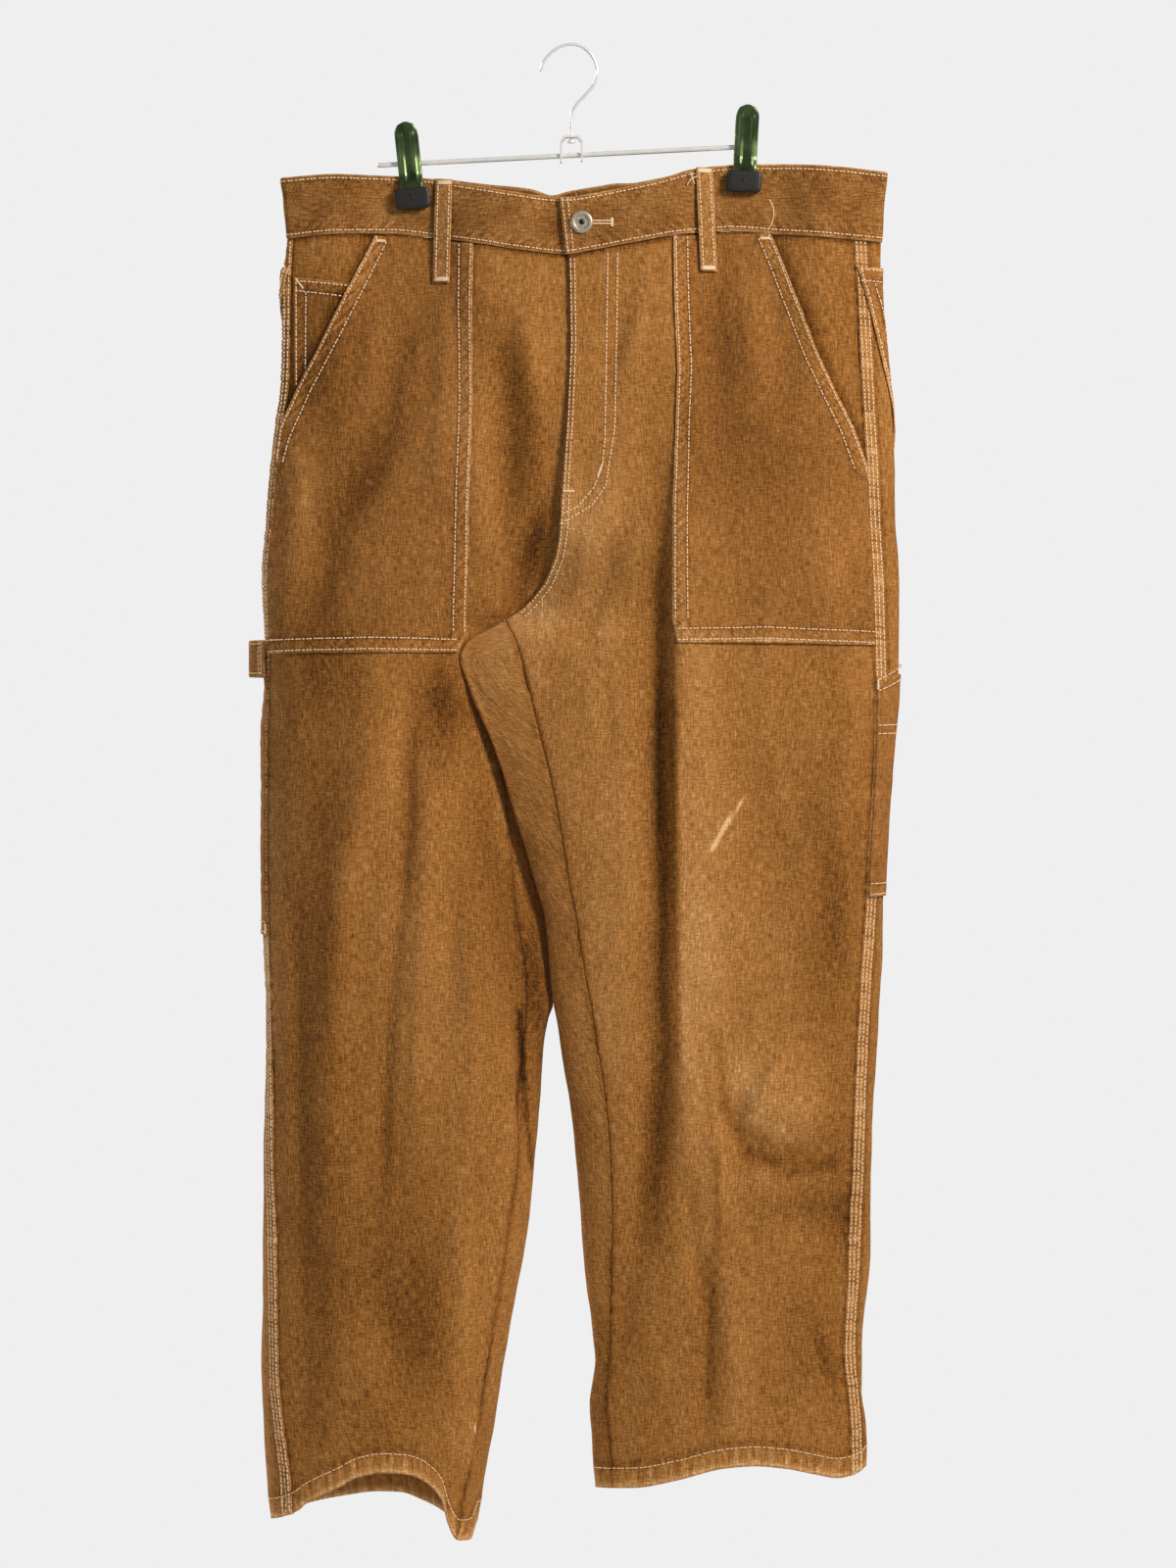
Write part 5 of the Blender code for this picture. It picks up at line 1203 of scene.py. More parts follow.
# the body's level at a place, given its drop: the waist's tilt taken out
def levelOf(x, drop, back):
    raised = backRaise(x) if back else 0.0
    top, low = at(waistTop, "drop", x) - raised, at(waistBottom, "drop", x) - raised
    if drop < low:
        return cloth["bandTop"] + (cloth["waistSeam"] - cloth["bandTop"]) * (drop - top) / (low - top)
    return drop - (low - cloth["waistSeam"]) * (1.0 - ramp(drop, cloth["waistSeam"], 330.0))


# belt loops: x and drop of both ends, or for the side loops their length round from the outer fold
beltLoops = {
    "belt_loop_front_r": {"side": "r", "back": False, "top": (-97.5, 103.0), "low": (-99.5, 182.0)},
    "belt_loop_front_l": {"side": "l", "back": False, "top": (101.5, 94.0), "low": (105.0, 173.5)},
    "belt_loop_centre": {"side": "l", "back": True, "top": (11.5, 108.0), "low": (11.5, 170.0)},
    "belt_loop_side_r": {"side": "r", "length": 15.5, "top": (0.0, 102.5), "low": (0.0, 163.0)},
    "belt_loop_side_l": {"side": "l", "length": 15.5, "top": (0.0, 99.5), "low": (0.0, 161.0)},
}
loopShape = {
    "half": 6.5, "cut": 79.0, "rows": 46, "columns": 15, "wall": 1.5, "sideX": 226.0,
    "profile": table("part lift", [
        (0.0, 3.6), (0.06, 4.1), (0.2, 5.2), (0.5, 5.9), (0.75, 5.7), (0.92, 5.3), (1.0, 5.0)]),
}
loopGrids = {}
for name, loop in beltLoops.items():
    parts = np.linspace(0.0, 1.0, loopShape["rows"])
    across = np.linspace(-loopShape["half"], loopShape["half"], loopShape["columns"])
    rim = loopShape["half"] - np.abs(across)
    outward = outwardOf[loop["side"]]
    rows, facings = [], []
    for part in parts:
        x = loop["top"][0] + (loop["low"][0] - loop["top"][0]) * part
        drop = loop["top"][1] + (loop["low"][1] - loop["top"][1]) * part
        lift = float(at(loopShape["profile"], "lift", part)) - 0.35 * bell(np.abs(across), 4.4, 0.7)
        lift = lift - 0.5 * (1.0 - np.sqrt(np.clip(rim / 1.0, 0.0, 1.0)))
        if "length" in loop:
            path = facePath(loop["side"], levelOf(outward * loopShape["sideX"], drop, False), True)
            px, py, nx, ny = pointsOn(path, lengthsOf(path), loop["length"] + across, outward)
            lift = lift - 0.5
            rows.append(np.stack([px + nx * lift, py + ny * lift, 0.0 * px - drop], axis=1))
            facings.append(np.stack([nx, ny, 0.0 * nx], axis=1))
        else:
            sign = 1.0 if loop["back"] else -1.0
            depth, _ = depthAt(loop["side"], levelOf(x, drop, loop["back"]), x + across, loop["back"])
            rows.append(np.stack([x + across, sign * (depth + lift), 0.0 * across - drop], axis=1))
            facings.append(np.stack([0.0 * across, 0.0 * across + sign, 0.0 * across], axis=1))
    points = np.array(rows)
    grid = {"points": points, "normals": gridNormals(points, np.array(facings))}
    loopGrids[name] = grid
    along = np.broadcast_to((parts * loopShape["cut"])[:, None], points.shape[:2])
    side = np.broadcast_to(across[None], points.shape[:2])
    wearAndShading = 0.24 * bell(loopShape["half"] - np.abs(side), 0.0, 0.8)
    wearAndShading = wearAndShading + 0.08 * ripple(along + side, 7.0, 5) + 0.08
    clothPiece(name.replace("loop", "loop_cloth"), name, duckWaist, grid,
               np.stack([side, -along], axis=2), wearAndShading, loopShape["wall"])

# hammer strap: sewn down at both ends, and standing off the right thigh by its profile between them
hammer = {
    "top": 455.0, "low": 483.0, "start": 1.0, "end": 116.0, "rows": 24, "columns": 90, "wall": 1.8,
    "profile": table("place lift", [
        (1.0, 5.0), (8.0, 5.8), (15.0, 13.3), (24.0, 18.8), (42.0, 21.8), (60.0, 19.3),
        (78.0, 13.3), (92.0, 7.4), (104.0, 5.8), (116.0, 5.1)]),
}
level, depth = (hammer["top"] + hammer["low"]) / 2.0, hammer["low"] - hammer["top"]
path = outlineFrom("r", level, at(outer, "seam_r", level))
places = np.linspace(hammer["start"], hammer["end"], hammer["columns"])
px, py, nx, ny = pointsOn(path, lengthsOf(path), places, outwardOf["r"])
across = np.linspace(0.0, 1.0, hammer["rows"])[:, None]
edge = np.minimum(across, 1.0 - across) * depth
lift = at(hammer["profile"], "lift", places)[None] - 0.5 * (1.0 - np.sqrt(np.clip(edge / 1.2, 0, 1)))
lift = lift - 0.3 * bell(edge, 3.0, 0.9) + 0.2 * ripple(places, 14.0, 2)[None]
points = np.stack([px[None] + nx[None] * lift, py[None] + ny[None] * lift,
                   -(hammer["top"] + depth * across) + 0.0 * lift], axis=2)
rough = np.broadcast_to(np.stack([nx, ny, 0.0 * nx], axis=1)[None], points.shape)
hammerGrid = {"points": points, "normals": gridNormals(points, rough)}
uv = np.stack([places[None] + 0.0 * lift, -depth * across + 0.0 * lift], axis=2)
wearAndShading = 0.22 * bell(edge, 0.0, 1.0) + 0.06 * ripple(places, 9.0, 1)[None]
clothPiece("hammer_strap_cloth", "hammer_loop_r", duckPocket, hammerGrid, uv, wearAndShading,
           hammer["wall"])
print("loops made")


# four-cornered faces between rings of points, one ring after the other
def loopFaces(rings, sides):
    index = np.arange(rings * sides).reshape(rings, sides)
    a, b = index[:-1], np.roll(index[:-1], -1, axis=1)
    c, d = np.roll(index[1:], -1, axis=1), index[1:]
    return np.stack([a.ravel(), b.ravel(), c.ravel(), d.ravel()], axis=1)


# a hard form of rings, closed by flat caps or, with poles, by joining the points of its end rings, and
# all faces turned outwards
def ringForm(name, points, material, node=None, poles=False):
    rings, sides = points.shape[:2]
    piece = meshOf(name, points, loopFaces(rings, sides), material)
    mesh = bmesh.new()
    mesh.from_mesh(piece.data)
    if poles:
        bmesh.ops.remove_doubles(mesh, verts=mesh.verts, dist=1e-6)
    else:
        mesh.verts.ensure_lookup_table()
        mesh.faces.new([mesh.verts[k] for k in range(sides)][::-1])
        mesh.faces.new([mesh.verts[(rings - 1) * sides + k] for k in range(sides)])
    bmesh.ops.recalc_face_normals(mesh, faces=mesh.faces)
    mesh.to_mesh(piece.data)
    mesh.free()
    if node:
        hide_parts(node)


# a smooth curve through points, each span a cubic with the slopes of its neighbours
def smoothPath(points, steps):
    points = np.array(points, dtype=float)
    padded = np.concatenate([[2 * points[0] - points[1]], points, [2 * points[-1] - points[-2]]])
    t = (np.arange(steps) / steps)[None, :, None]
    a, b, c, d = (padded[k:len(padded) - 3 + k][:, None] for k in range(4))
    curve = (3 * b - a - 3 * c + d) * t ** 3
    curve = 0.5 * (2 * b + (c - a) * t + (2 * a - 5 * b + 4 * c - d) * t ** 2 + curve)
    return np.concatenate([curve.reshape(-1, 3), points[-1:]])


# rings round a path, at right angles to it, each frame set by the Y axis
def ringsAlong(path, radii, turn):
    path = np.array(path, dtype=float)
    tangent = np.gradient(path, axis=0)
    tangent /= np.linalg.norm(tangent, axis=1, keepdims=True)
    across = np.cross(np.array([[0.0, 1.0, 0.0]]), tangent)
    across /= np.linalg.norm(across, axis=1, keepdims=True)
    up = np.cross(tangent, across)
    ring = across[:, None] * np.cos(turn)[None, :, None] + up[:, None] * np.sin(turn)[None, :, None]
    return path[:, None] + ring * (np.zeros(len(path)) + radii)[:, None, None]


# stitching: each stitch is a short rounded thread that dips into the cloth at both ends. Along it come
# stations, and at each the height over the cloth and the share of the full width
stitch = {"pitch": 3.0, "length": 2.3, "radius": 0.5}
tack = {"pitch": 99.0, "radius": 0.3}
stations = np.array([0.0, 0.18, 0.82, 1.0])
heights = np.array([-0.25, 0.12, 0.12, -0.25])
widths = np.array([0.55, 1.0, 1.0, 0.55])


# stitches along a line of points: a four-sided bar carried along each, as whole arrays
def stitchRun(points, normals, pitch=stitch["pitch"], length=stitch["length"], radius=stitch["radius"]):
    steps = np.linalg.norm(np.diff(points, axis=0), axis=1)
    gone = np.concatenate([[0.0], np.cumsum(steps)])
    count = max(int(gone[-1] / pitch), 1)
    starts = (np.arange(count) + 0.12 * np.sin(np.arange(count) * 2.3)) * gone[-1] / count + 0.15
    where = starts[:, None] + stations[None] * length
    centreLine = np.stack([np.interp(where, gone, points[:, k]) for k in range(3)], axis=2)
    normal = np.stack([np.interp(where, gone, normals[:, k]) for k in range(3)], axis=2)
    normal = normal / np.linalg.norm(normal, axis=2, keepdims=True)
    tangent = centreLine[:, -1:] - centreLine[:, :1]
    tangent = tangent / np.maximum(np.linalg.norm(tangent, axis=2, keepdims=True), 1e-6)
    side = np.cross(normal, np.broadcast_to(tangent, normal.shape))
    side = side / np.maximum(np.linalg.norm(side, axis=2, keepdims=True), 1e-6)
    centreLine = centreLine + normal * heights[None, :, None]
    rings = []
    for turn in (0.25, 0.75, 1.25, 1.75):
        offset = side * math.cos(turn * math.pi) + normal * 0.8 * math.sin(turn * math.pi)
        rings.append(centreLine + offset * (radius * widths)[None, :, None] * 1.25)
    return np.stack(rings, axis=2).reshape(-1, 3)


# the fourteen faces of each stitch: four round each of its three spans and two ends
def stitchFaces(count):
    local = []
    for ring in range(3):
        for k in range(4):
            m = (k + 1) % 4
            local.append((ring * 4 + k, ring * 4 + 4 + k, ring * 4 + 4 + m, ring * 4 + m))
    local += [(0, 1, 2, 3), (15, 14, 13, 12)]
    return (np.arange(count)[:, None, None] * 16 + np.array(local)[None]).reshape(-1, 4)


# joins runs of stitches to one piece
def threadPiece(name, runs):
    points = np.concatenate(runs)
    meshOf(name, points, stitchFaces(len(points) // 16), thread)


# a line of places with more points between them
def dense(line, step=2.0):
    line = np.array(line, dtype=float)
    gone = lengthsOf(line)
    where = np.linspace(0.0, gone[-1], max(int(gone[-1] / step), 2))
    return np.stack([np.interp(where, gone, line[:, k]) for k in range(2)], axis=1)


# the same line moved sideways in the flat
def beside(line, distance):
    line = dense(line, 4.0)
    tangent = np.gradient(line, axis=0)
    tangent = tangent / np.linalg.norm(tangent, axis=1, keepdims=True)
    return line + np.stack([-tangent[:, 1], tangent[:, 0]], axis=1) * distance


# a row of stitches along a line on a panel, lifted by a number or by a function of the place
def rowOn(panel, line, lift, **kind):
    line = dense(line)
    lifts = lift(line[:, 0], line[:, 1]) if callable(lift) else np.full(len(line), float(lift))
    points, normals = onPanel(panel, line[:, 0], line[:, 1], lifts)
    return stitchRun(points, normals, **kind)


# a bar tack: a close zigzag across a short line
def barTack(panel, start, end, width, lift):
    start, end = np.array(start, dtype=float), np.array(end, dtype=float)
    count = max(int(np.linalg.norm(end - start) / 0.55), 3)
    along = (end - start) / np.linalg.norm(end - start)
    side = np.array([-along[1], along[0]]) * width / 2.0
    runs = []
    for k in range(count):
        spot = start + (end - start) * (k + 0.5) / count
        ends = np.stack([spot - side, spot + side + along * 0.3])
        points, normals = onPanel(panel, ends[:, 0], ends[:, 1], np.full(2, lift))
        runs.append(stitchRun(points, normals, tack["pitch"], width, tack["radius"]))
    return runs


runs = {"r": [], "l": []}
# patch pockets: two rows round the mouth, the inner side and the bottom
for side, pocket in patchPockets.items():
    raised = patchLift(pocket, patchShape["stitchLift"])
    for distance in patchShape["stitchRows"]:
        way = outwardOf[side] * distance
        for line, aside in ((pocket["mouth"], way), (pocket[pocket["inside"]][:-1], -way),
                            (pocket["bottom"], -distance)):
            runs[side].append(rowOn(panels[side, False], beside(line, aside), raised))
# coin pocket
for line in ([(-210.5, 180.5), (-171, 184.5)], [(-211, 188), (-175, 192.6)],
             [(-210, 181), (-209.5, 261)], [(-202.5, 189), (-202.5, 261)]):
    runs["r"].append(rowOn(panels["r", False], line, 1.3))
# fly: the curved double row, and two rows beside its edge and beside the rise below it
flyRows = {
    "outer": [(35.3, 160), (34.5, 220), (33, 294.9), (30, 312.9), (26.3, 338.4), (15.8, 353.4), (0.8, 362.4),
              (-8.8, 367.7)],
    "inner": [(27.8, 160), (26.3, 257.4), (25.5, 303.2), (23.3, 324.2), (17.3, 339.9), (4.5, 354.9),
              (-7.6, 360.2)],
    "edge": [(-1, 164), (0, 228), (-2.5, 288), (-6, 343)],
    "rise": [(-7, 345), (-8.5, 374), (-11.5, 392), (-19.5, 411), (-31.5, 426), (-40, 434)],
}
for line in (flyRows["outer"], flyRows["inner"], beside(flyRows["edge"], -0.4), beside(flyRows["edge"], -3.4),
             beside(flyRows["rise"], -1.0), beside(flyRows["rise"], -5.4)):
    runs["l"].append(rowOn(panels["l", False], line, 0.2))
# bar tacks: side, whether on the back, both ends, width and lift
tacks = [
    ("r", False, (-150, 149.5), (-142, 149.5), 2.4, 2.2), ("r", False, (-229, 316), (-224.5, 309), 2.4, 2.6),
    ("l", False, (144, 147.5), (152, 147.5), 2.4, 2.2), ("l", False, (224.5, 323), (226.5, 332), 2.4, 2.6),
    ("r", False, (-210.5, 178.5), (-204.5, 186.5), 1.8, 1.4),
    ("l", False, (23.6, 322), (20.3, 331), 2.2, 0.3), ("l", False, (-6.5, 342.5), (2.3, 342.5), 2.0, 0.3),
    ("l", True, (1.5, 485), (1.5, 493), 2.4, 2.4), ("r", True, (1.5, 671), (1.5, 679), 2.6, 2.4),
]
for side, back, start, end, width, lift in tacks:
    runs[side] += barTack(panels[side, back], start, end, width, lift)

# outseams, hems and the seat's seam, laid by row and column of the panels
for side in ("r", "l"):
    back, front = panels[side, True], panels[side, False]
    drops = np.arange(150.0, 1119.0, 2.0)
    keep = drops < back["drop"][-1, 2] - 1.5
    low = np.minimum(drops, back["drop"][:, 2].max() - 1.0)
    for length in (1.6, 5.0, 8.4):
        points, normals = onPanel(back, 0.0 * drops + length, low, np.full(drops.shape, 0.22))
        runs[side].append(stitchRun(points[keep], normals[keep]))
    for panel in (back, front):
        row = int(np.argmin(np.abs(panel["level"][:, 0] - 1105.0)))
        normals = panel["normals"][row]
        runs[side].append(stitchRun(panel["points"][row] + normals * 0.25, normals, 3.6, 3.0, 0.38))
seat = panels["l", True]
last = int(np.argmin(np.abs(seat["level"][:, 0] - 430.0)))
for inset in (2.0, 7.0):
    runs["l"].append(stitchRun(*onPanel(seat, seat["length"][:last, -1] - inset, seat["drop"][:last, -1],
                                        np.full(last, 0.22))))

# pockets at the sides and back
sideRows = {
    "ruler_pocket_l": [[(2, 485.5), (26, 474), (118, 472)], [(2, 494), (26, 483.5), (118, 481.5)],
                       [(118.2, 472), (118.2, 643)], [(110, 480), (110, 634)],
                       [(2, 649), (118, 643)], [(2, 641), (110, 635)],
                       [(2, 520), (118, 516)], [(2, 526.5), (118, 522.5)]],
    "tool_pocket_r": [[(2, 472), (138, 472)], [(2, 480), (138, 480)], [(138.2, 472), (138.2, 666)],
                      [(130, 480), (130, 658)], [(2, 678), (138, 666)], [(2, 670), (130, 658.5)]],
}
for side in ("r", "l"):
    sideRows["back_pocket_" + side] = [
        [(3, 172), (168, 178)], [(3, 180.5), (168, 186.5)],
        [(168.2, 178), (172, 309), (98, 340), (37.6, 322.4), (3.8, 172)],
        [(160, 187), (163.5, 303), (98, 331), (44.5, 315.5), (14.5, 182)]]
for name, rows in sideRows.items():
    side = name[-1]
    for row in rows:
        runs[side].append(rowOn(panels[side, True], row, 2.15))


# a row of stitches on a grid, through given columns and rows
def gridRow(grid, u, v, lift=0.2, **kind):
    points, normals = sample(grid["points"], u, v), sample(grid["normals"], u, v)
    return stitchRun(points + normals * lift, normals, **kind)


bandRuns = []
for side, band in bands.items():
    us = np.linspace(0.5, bandShape["columns"] - 1.5, 900)
    # the right half's first columns lie under the left half
    us = us[us > (0.0 if side == "l" else 12.0)]
    for edge in (3.0, 43.0):
        v = np.interp(edge / bandShape["depth"], band["part"][:, 0], np.arange(bandShape["rows"]))
        bandRuns.append(gridRow(band, us, np.full(len(us), v)))
vs = np.linspace(1.5, bandShape["rows"] - 2.5, 40)
for place in (2.2, 6.4):
    bandRuns.append(gridRow(bands["l"], np.full(40, place / bands["l"]["length"][10, 1]), vs))

# belt loops: a row along each side and five bars across each end; the strap: rows along and across it
last = loopShape["rows"] - 1
for grid in loopGrids.values():
    for column in (2.4, 11.6):
        bandRuns.append(gridRow(grid, np.full(60, column), np.linspace(0.5, last - 0.5, 60)))
    for part in (0.03, 0.965):
        for k in range(5):
            row = np.full(2, part * last + (k - 2) * 0.35)
            bandRuns.append(gridRow(grid, np.array([0.6, 13.4]), row, 0.3, pitch=tack["pitch"],
                                    length=12.0, radius=0.34))
for row in (0.1, 0.9):
    runs["r"].append(gridRow(hammerGrid, np.linspace(1.0, 88.0, 120), np.full(120, row * 23.0)))
for u in (2.0, 5.5, 82.0, 86.0):
    runs["r"].append(gridRow(hammerGrid, np.full(24, u), np.linspace(1.0, 22.0, 24)))

# keyhole buttonhole: close stitches round the eye and both sides of the slit, with a bar at its end
keyhole = {"x": 8.0, "drop": 136.5, "slitStart": 5.0, "slitEnd": 30.0, "half": 1.6, "step": 0.55,
           "barHalf": 3.2, "barStep": 0.6}
band = bands["l"]
frontPart = band["normals"][..., 1] < 0.0
bandX = np.where(frontPart, band["points"][..., 0], band["points"][..., 0] + 900.0)


# points on the left half's front, by x and drop
def onBand(x, drop, lift):
    u, v = locate(bandX, band["drop"], np.array(x, dtype=float), np.array(drop, dtype=float))
    normal = sample(band["normals"], u, v)
    return sample(band["points"], u, v) + normal * lift, normal


holeRuns = []
slit = keyhole["drop"]
for sign in (-1.0, 1.0):
    for x in np.arange(keyhole["x"] + keyhole["slitStart"], keyhole["slitEnd"], keyhole["step"]):
        spread = keyhole["half"] + 0.15 * math.sin(9.0 * x)
        points, normals = onBand([x, x + 0.3], [slit + sign * 0.35, slit + sign * spread], 0.35)
        holeRuns.append(stitchRun(points, normals, tack["pitch"], 1.5, 0.32))
for drop in np.arange(-keyhole["barHalf"], keyhole["barHalf"] + 0.1, keyhole["barStep"]):
    points, normals = onBand([keyhole["slitEnd"] - 0.4, keyhole["slitEnd"] + 2.2],
                             [slit + drop, slit + drop + 0.3], 0.5)
    holeRuns.append(stitchRun(points, normals, tack["pitch"], 2.4, 0.36))
threadPiece("buttonhole_stitching", holeRuns)

# loose ends of thread: x, drop and how far each stands off the body's middle
looseEnds = {
    "by_belt_loop": [(91, 98, 12), (92.5, 103, 13.2), (94, 107, 12.6)],
    "by_belt_loop_low": [(88, 108.5, 12.2), (91, 104, 13.6), (96, 101, 12.4)],
    "below_clip": [(151, 119, 13), (153.5, 124, 14), (154.5, 130, 14.4), (153, 137, 13.2), (149.5, 142, 11)],
}
for name, ends in looseEnds.items():
    line = smoothPath([(x, -lift, -drop) for x, drop, lift in ends], 6)
    ringForm("loose_thread_" + name, ringsAlong(line, 0.38, 2.0 * math.pi * np.arange(6) / 6.0), thread)

for side in ("r", "l"):
    threadPiece("topstitching_" + side, runs[side])
threadPiece("waistband_topstitching", bandRuns)
print("stitching made", sum(len(run) for side in runs for run in runs[side]) // 16)

# hanger: wire and rod are rings along a path, both rounded off at their ends
hanger = {
    "wire": 1.2, "bar": 1.9, "barEnds": ((-148.5, 91.5), (139.0, 76.9)), "socket": 2.8,
    "wireTip": np.array([0.35, 0.75, 0.93, 1.0]), "barTip": np.array([0.3, 0.65, 0.88, 1.0]),
    "hook": [(-23.8, 19.6), (-21.3, 12.6), (-16.6, 6.4), (-10.0, 1.4), (-1.0, -1.2), (7.6, 0.4),
             (14.6, 6.0), (18.8, 13.6), (19.6, 22.0), (16.8, 30.2), (11.0, 37.4), (5.4, 43.2),
             (1.2, 49.6), (0.0, 57.0), (0.0, 66.0), (0.0, 72.6), (0.0, 74.4)],
}


# the angles of a ring with a flat side up
def ringTurn(sides):
    return 2.0 * math.pi * (np.arange(sides) + 0.5) / sides


# drop of the bar at x, on the straight line between its ends
def barDrop(x):
    (ax, ad), (bx, bd) = hanger["barEnds"]
    return ad + (bd - ad) * (x - ax) / (bx - ax)


hookPath = smoothPath([(x, 0.0, -drop) for x, drop in hanger["hook"]], 8)
radii = np.full(len(hookPath), hanger["wire"])
radii[:4] = hanger["wire"] * hanger["wireTip"]
radii[-9:] = hanger["socket"]
ringForm("hook_wire", ringsAlong(hookPath, radii, ringTurn(20)), steel, "hanger_hook")

barX = np.concatenate([[-148.5, -148.3, -147.7, -146.6], np.linspace(-140.0, 130.0, 30),
                       [137.1, 138.2, 138.8, 139.0]])
radii = np.full(len(barX), hanger["bar"])
radii[:4] = radii[-1:-5:-1] = hanger["bar"] * hanger["barTip"]
barPath = np.stack([barX, 0.0 * barX, -barDrop(barX)], axis=1)
ringForm("hanger_rod", ringsAlong(barPath, radii, ringTurn(24)), steel, "hanger_bar")

# clips: down is measured from the bar, away from the middle plane of the cloth
clip = {
    "tilt": {"r": math.radians(-6.0), "l": math.radians(3.0)},
    "jaw": table("down halfWidth away", [
        (-31.0, 4.6, 10.0), (-28.5, 7.4, 9.8), (-22.0, 8.8, 9.0), (-3.0, 9.0, 6.2),
        (8.0, 9.6, 6.4), (18.0, 10.6, 8.8), (34.0, 11.4, 8.8)]),
    "jawTop": -31.0, "jawLong": 65.0, "wall": 1.0, "plate": 0.95, "flute": 0.9,
    "pad": {"halfWidth": 13.2, "halfHeight": 8.0, "down": 27.5, "near": cloth["pinch"] + 1.9, "far": 11.4,
            "round": 0.28, "rings": 24, "sides": 48},
    "rivet": {"radius": 1.3, "tip": 0.02, "height": 0.7, "seat": 11.2, "down": 27.4, "rings": 7, "sides": 20},
}


# a place on a clip, turned by its tilt about the spot where it hangs on the bar
def clipPoint(side, across, down, y):
    tilt = clip["tilt"][side]
    held = cloth["clipX"][side]
    x = held + across * math.cos(tilt) - down * math.sin(tilt)
    drop = barDrop(held) + down * math.cos(tilt) + across * math.sin(tilt)
    return np.stack([x, y + 0.0 * x, -drop], axis=-1)


# a power of the size that keeps the sign, which squares a circle off
def squared(value):
    return np.sign(value) * np.abs(value) ** clip["pad"]["round"]


# a pressed plate with two long flutes, dished at its sides and rounded at the thumb's end
def jawPlate(side, word, facing):
    down = clip["jawTop"] + clip["jawLong"] * np.linspace(0.0, 1.0, 70) ** 0.85
    share = np.linspace(-1.0, 1.0, 41)
    roundTop = np.sqrt(np.clip(1.0 - np.clip((-21.0 - down) / 10.0, 0.0, 1.0) ** 2, 0.0, 1.0))
    half = np.minimum(at(clip["jaw"], "halfWidth", down), 1.6 + 7.2 * roundTop)
    away = at(clip["jaw"], "away", down)
    flute = clip["flute"] * ramp(down, -26.0, -20.0) * (1.0 - ramp(down, 10.0, 18.0))
    dish = -0.8 * np.abs(share) ** 6
    y = flute[:, None] * bell(np.abs(share), 0.5, 0.16)[None]
    y = facing * (away[:, None] + y + clip["wall"] + dish[None])
    points = clipPoint(side, share[None] * half[:, None], np.broadcast_to(down[:, None], y.shape), y)
    normals = gridNormals(points, np.broadcast_to(np.array([0.0, facing, 0.0]), points.shape))
    piece = meshOf("clip_jaw_plate_" + side + "_" + word, points, facesOf(points, normals), greenSteel)
    addWall(piece, clip["plate"])
    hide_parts("clip_" + side + "_jaw_" + word)


# a rounded rubber block, a squared circle in plan and in thickness, sleeved on the jaw's tip
def rubberPad(side, word, facing):
    pad = clip["pad"]
    u = squared(np.cos(np.linspace(0.0, 2.0 * math.pi, pad["sides"], endpoint=False)))[None]
    w = squared(np.sin(np.linspace(0.0, 2.0 * math.pi, pad["sides"], endpoint=False)))[None]
    v = np.linspace(-math.pi / 2.0, math.pi / 2.0, pad["rings"])
    across = pad["halfWidth"] * u * squared(np.cos(v))[:, None]
    up = pad["halfHeight"] * w * squared(np.cos(v))[:, None]
    deep = (pad["far"] - pad["near"]) / 2.0 * squared(np.sin(v))[:, None] + 0.0 * up
    points = clipPoint(side, across, up + pad["down"], facing * ((pad["far"] + pad["near"]) / 2.0 + deep))
    ringForm("clip_rubber_pad_" + side + "_" + word, points, rubber,
             "clip_" + side + "_pad_" + word, poles=True)


# a low dome, its height a quarter circle over its radius
def rivetDome(side, word, facing):
    rivet = clip["rivet"]
    rise = np.linspace(0.0, math.pi / 2.0, rivet["rings"])
    turn = 2.0 * math.pi * np.arange(rivet["sides"]) / rivet["sides"]
    ring = rivet["radius"] * np.cos(rise)[:, None] + rivet["tip"]
    high = rivet["seat"] + rivet["height"] * np.sin(rise)[:, None] + 0.0 * turn[None]
    points = clipPoint(side, ring * np.cos(turn)[None], rivet["down"] + ring * np.sin(turn)[None],
                       facing * high)
    ringForm("clip_rivet_" + side + "_" + word, points, buttonDark)


for side in ("r", "l"):
    for word, facing in (("front", -1.0), ("back", 1.0)):
        for part in (jawPlate, rubberPad, rivetDome):
            part(side, word, facing)

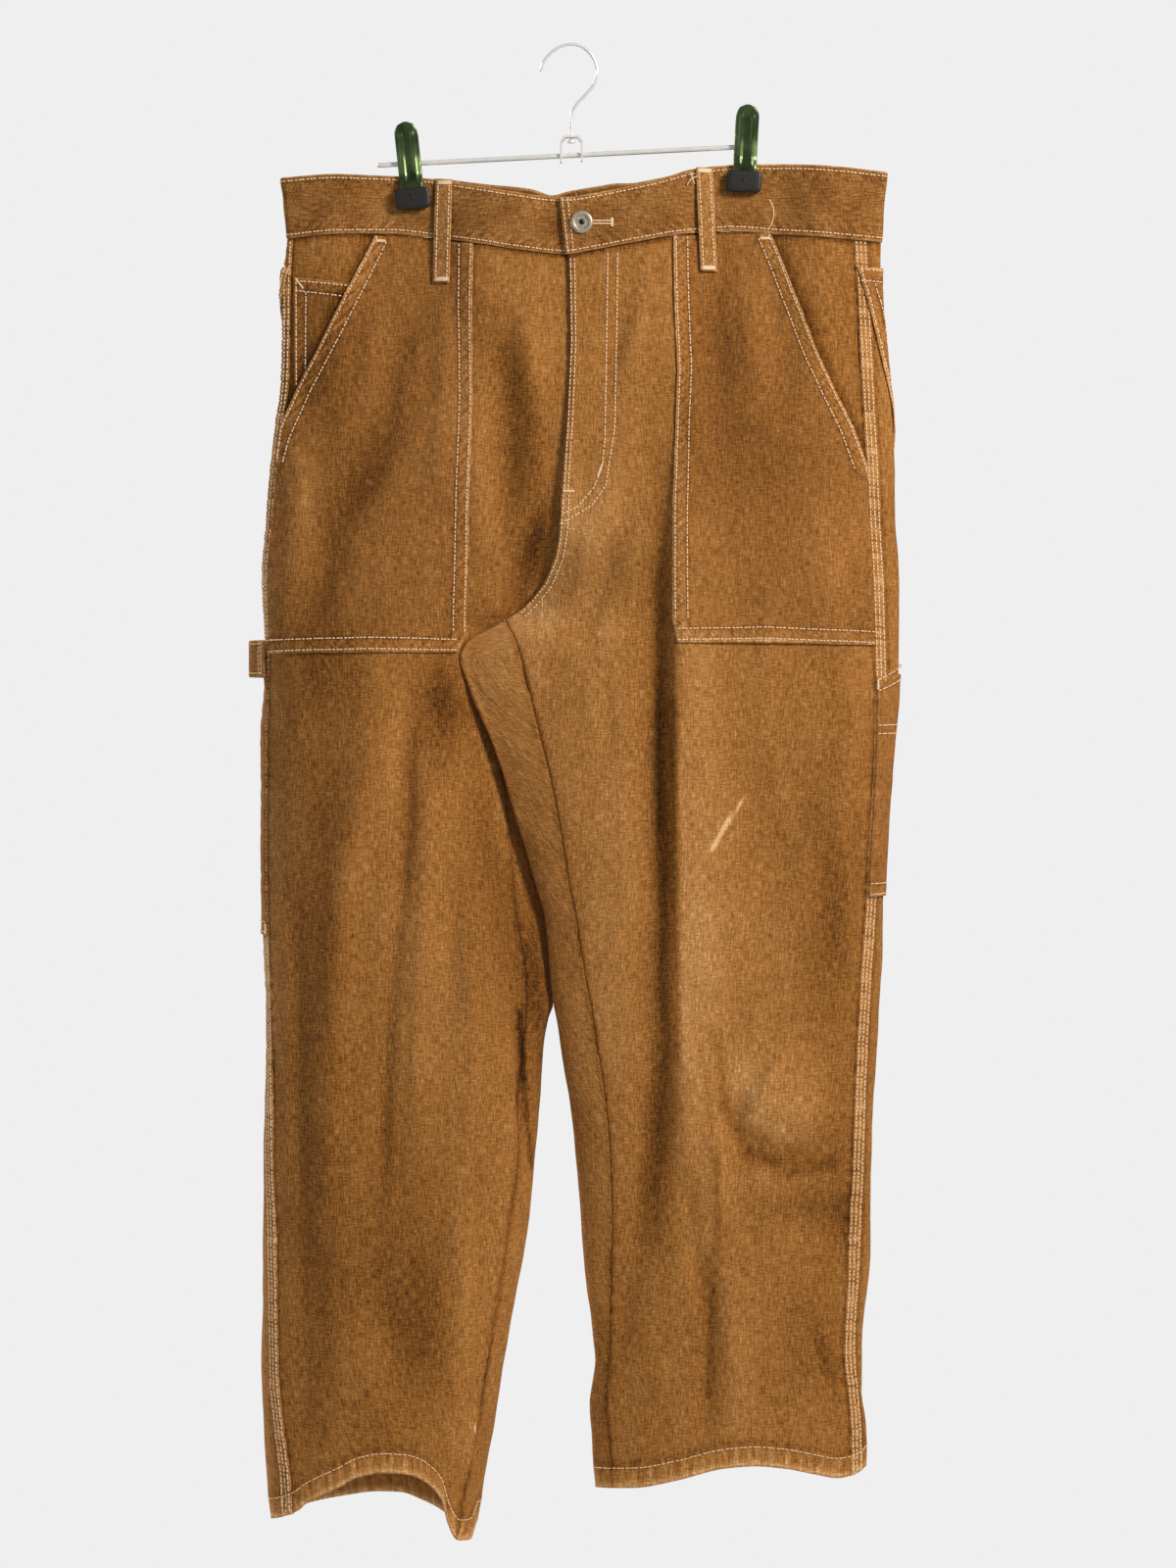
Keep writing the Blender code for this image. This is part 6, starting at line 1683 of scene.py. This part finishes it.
# the button: a ring turned round a sunken centre, by radius and height over the band
button = {
    "x": keyhole["x"], "drop": keyhole["drop"], "sides": 48,
    "ring": [(2.1, -1.2), (2.1, 2.1), (2.3, 2.3), (7.4, 2.3), (8.5, 3.0), (8.5, 3.9), (7.4, 4.7), (6.0, 4.7),
             (5.2, 4.2), (4.7, 3.5)],
    "centre": [(4.9, 3.4), (3.6, 3.3), (2.2, 3.5), (1.3, 4.0), (0.4, 4.15)],
}
surface, _ = depthAt("l", levelOf(button["x"], button["drop"], False), np.array([button["x"]]), False)
bandY = -float(surface[0])


# a smooth profile of radius and height, turned round the button's axis
def turned(name, rows, material, node=None):
    profile = smoothPath([(radius, 0.0, height) for radius, height in rows], 4)
    turn = 2.0 * math.pi * np.arange(button["sides"]) / button["sides"]
    points = np.stack([button["x"] + profile[:, 0:1] * np.cos(turn)[None],
                       bandY - profile[:, 2:3] + 0.0 * turn[None],
                       -button["drop"] + profile[:, 0:1] * np.sin(turn)[None]], axis=2)
    ringForm(name, points, material, node)


turned("tack_button_ring", button["ring"], buttonMetal, "button")
turned("tack_button_centre", button["centre"], buttonDark)
print("hard parts made")

for name in ("hanger_bracket", "clip_r_spring", "clip_l_spring"):
    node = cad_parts[name]
    node.data.materials.clear()
    node.data.materials.append(steel)

# floor, below the picture: a disk with a turned-down rim
stage = {"radius": np.array([0.02, 300.0, 700.0, 1050.0, 1100.0]), "level": -1350.0, "rim": -1353.0,
         "sides": 96}
turn = np.linspace(0.0, 2.0 * math.pi, stage["sides"] + 1)[:-1]
height = np.array([stage["level"]] * 4 + [stage["rim"]])[:, None] + 0.0 * turn[None]
points = np.stack([stage["radius"][:, None] * np.cos(turn)[None],
                   stage["radius"][:, None] * np.sin(turn)[None], height], axis=2)
floorMesh = bpy.data.meshes.new("floor")
floorMesh.from_pydata((points.reshape(-1, 3) * mm).tolist(), [], loopFaces(5, stage["sides"]).tolist())
floor = bpy.data.objects.new("floor", floorMesh)
floorMesh.materials.append(floorPale)
bpy.context.scene.collection.objects.link(floor)
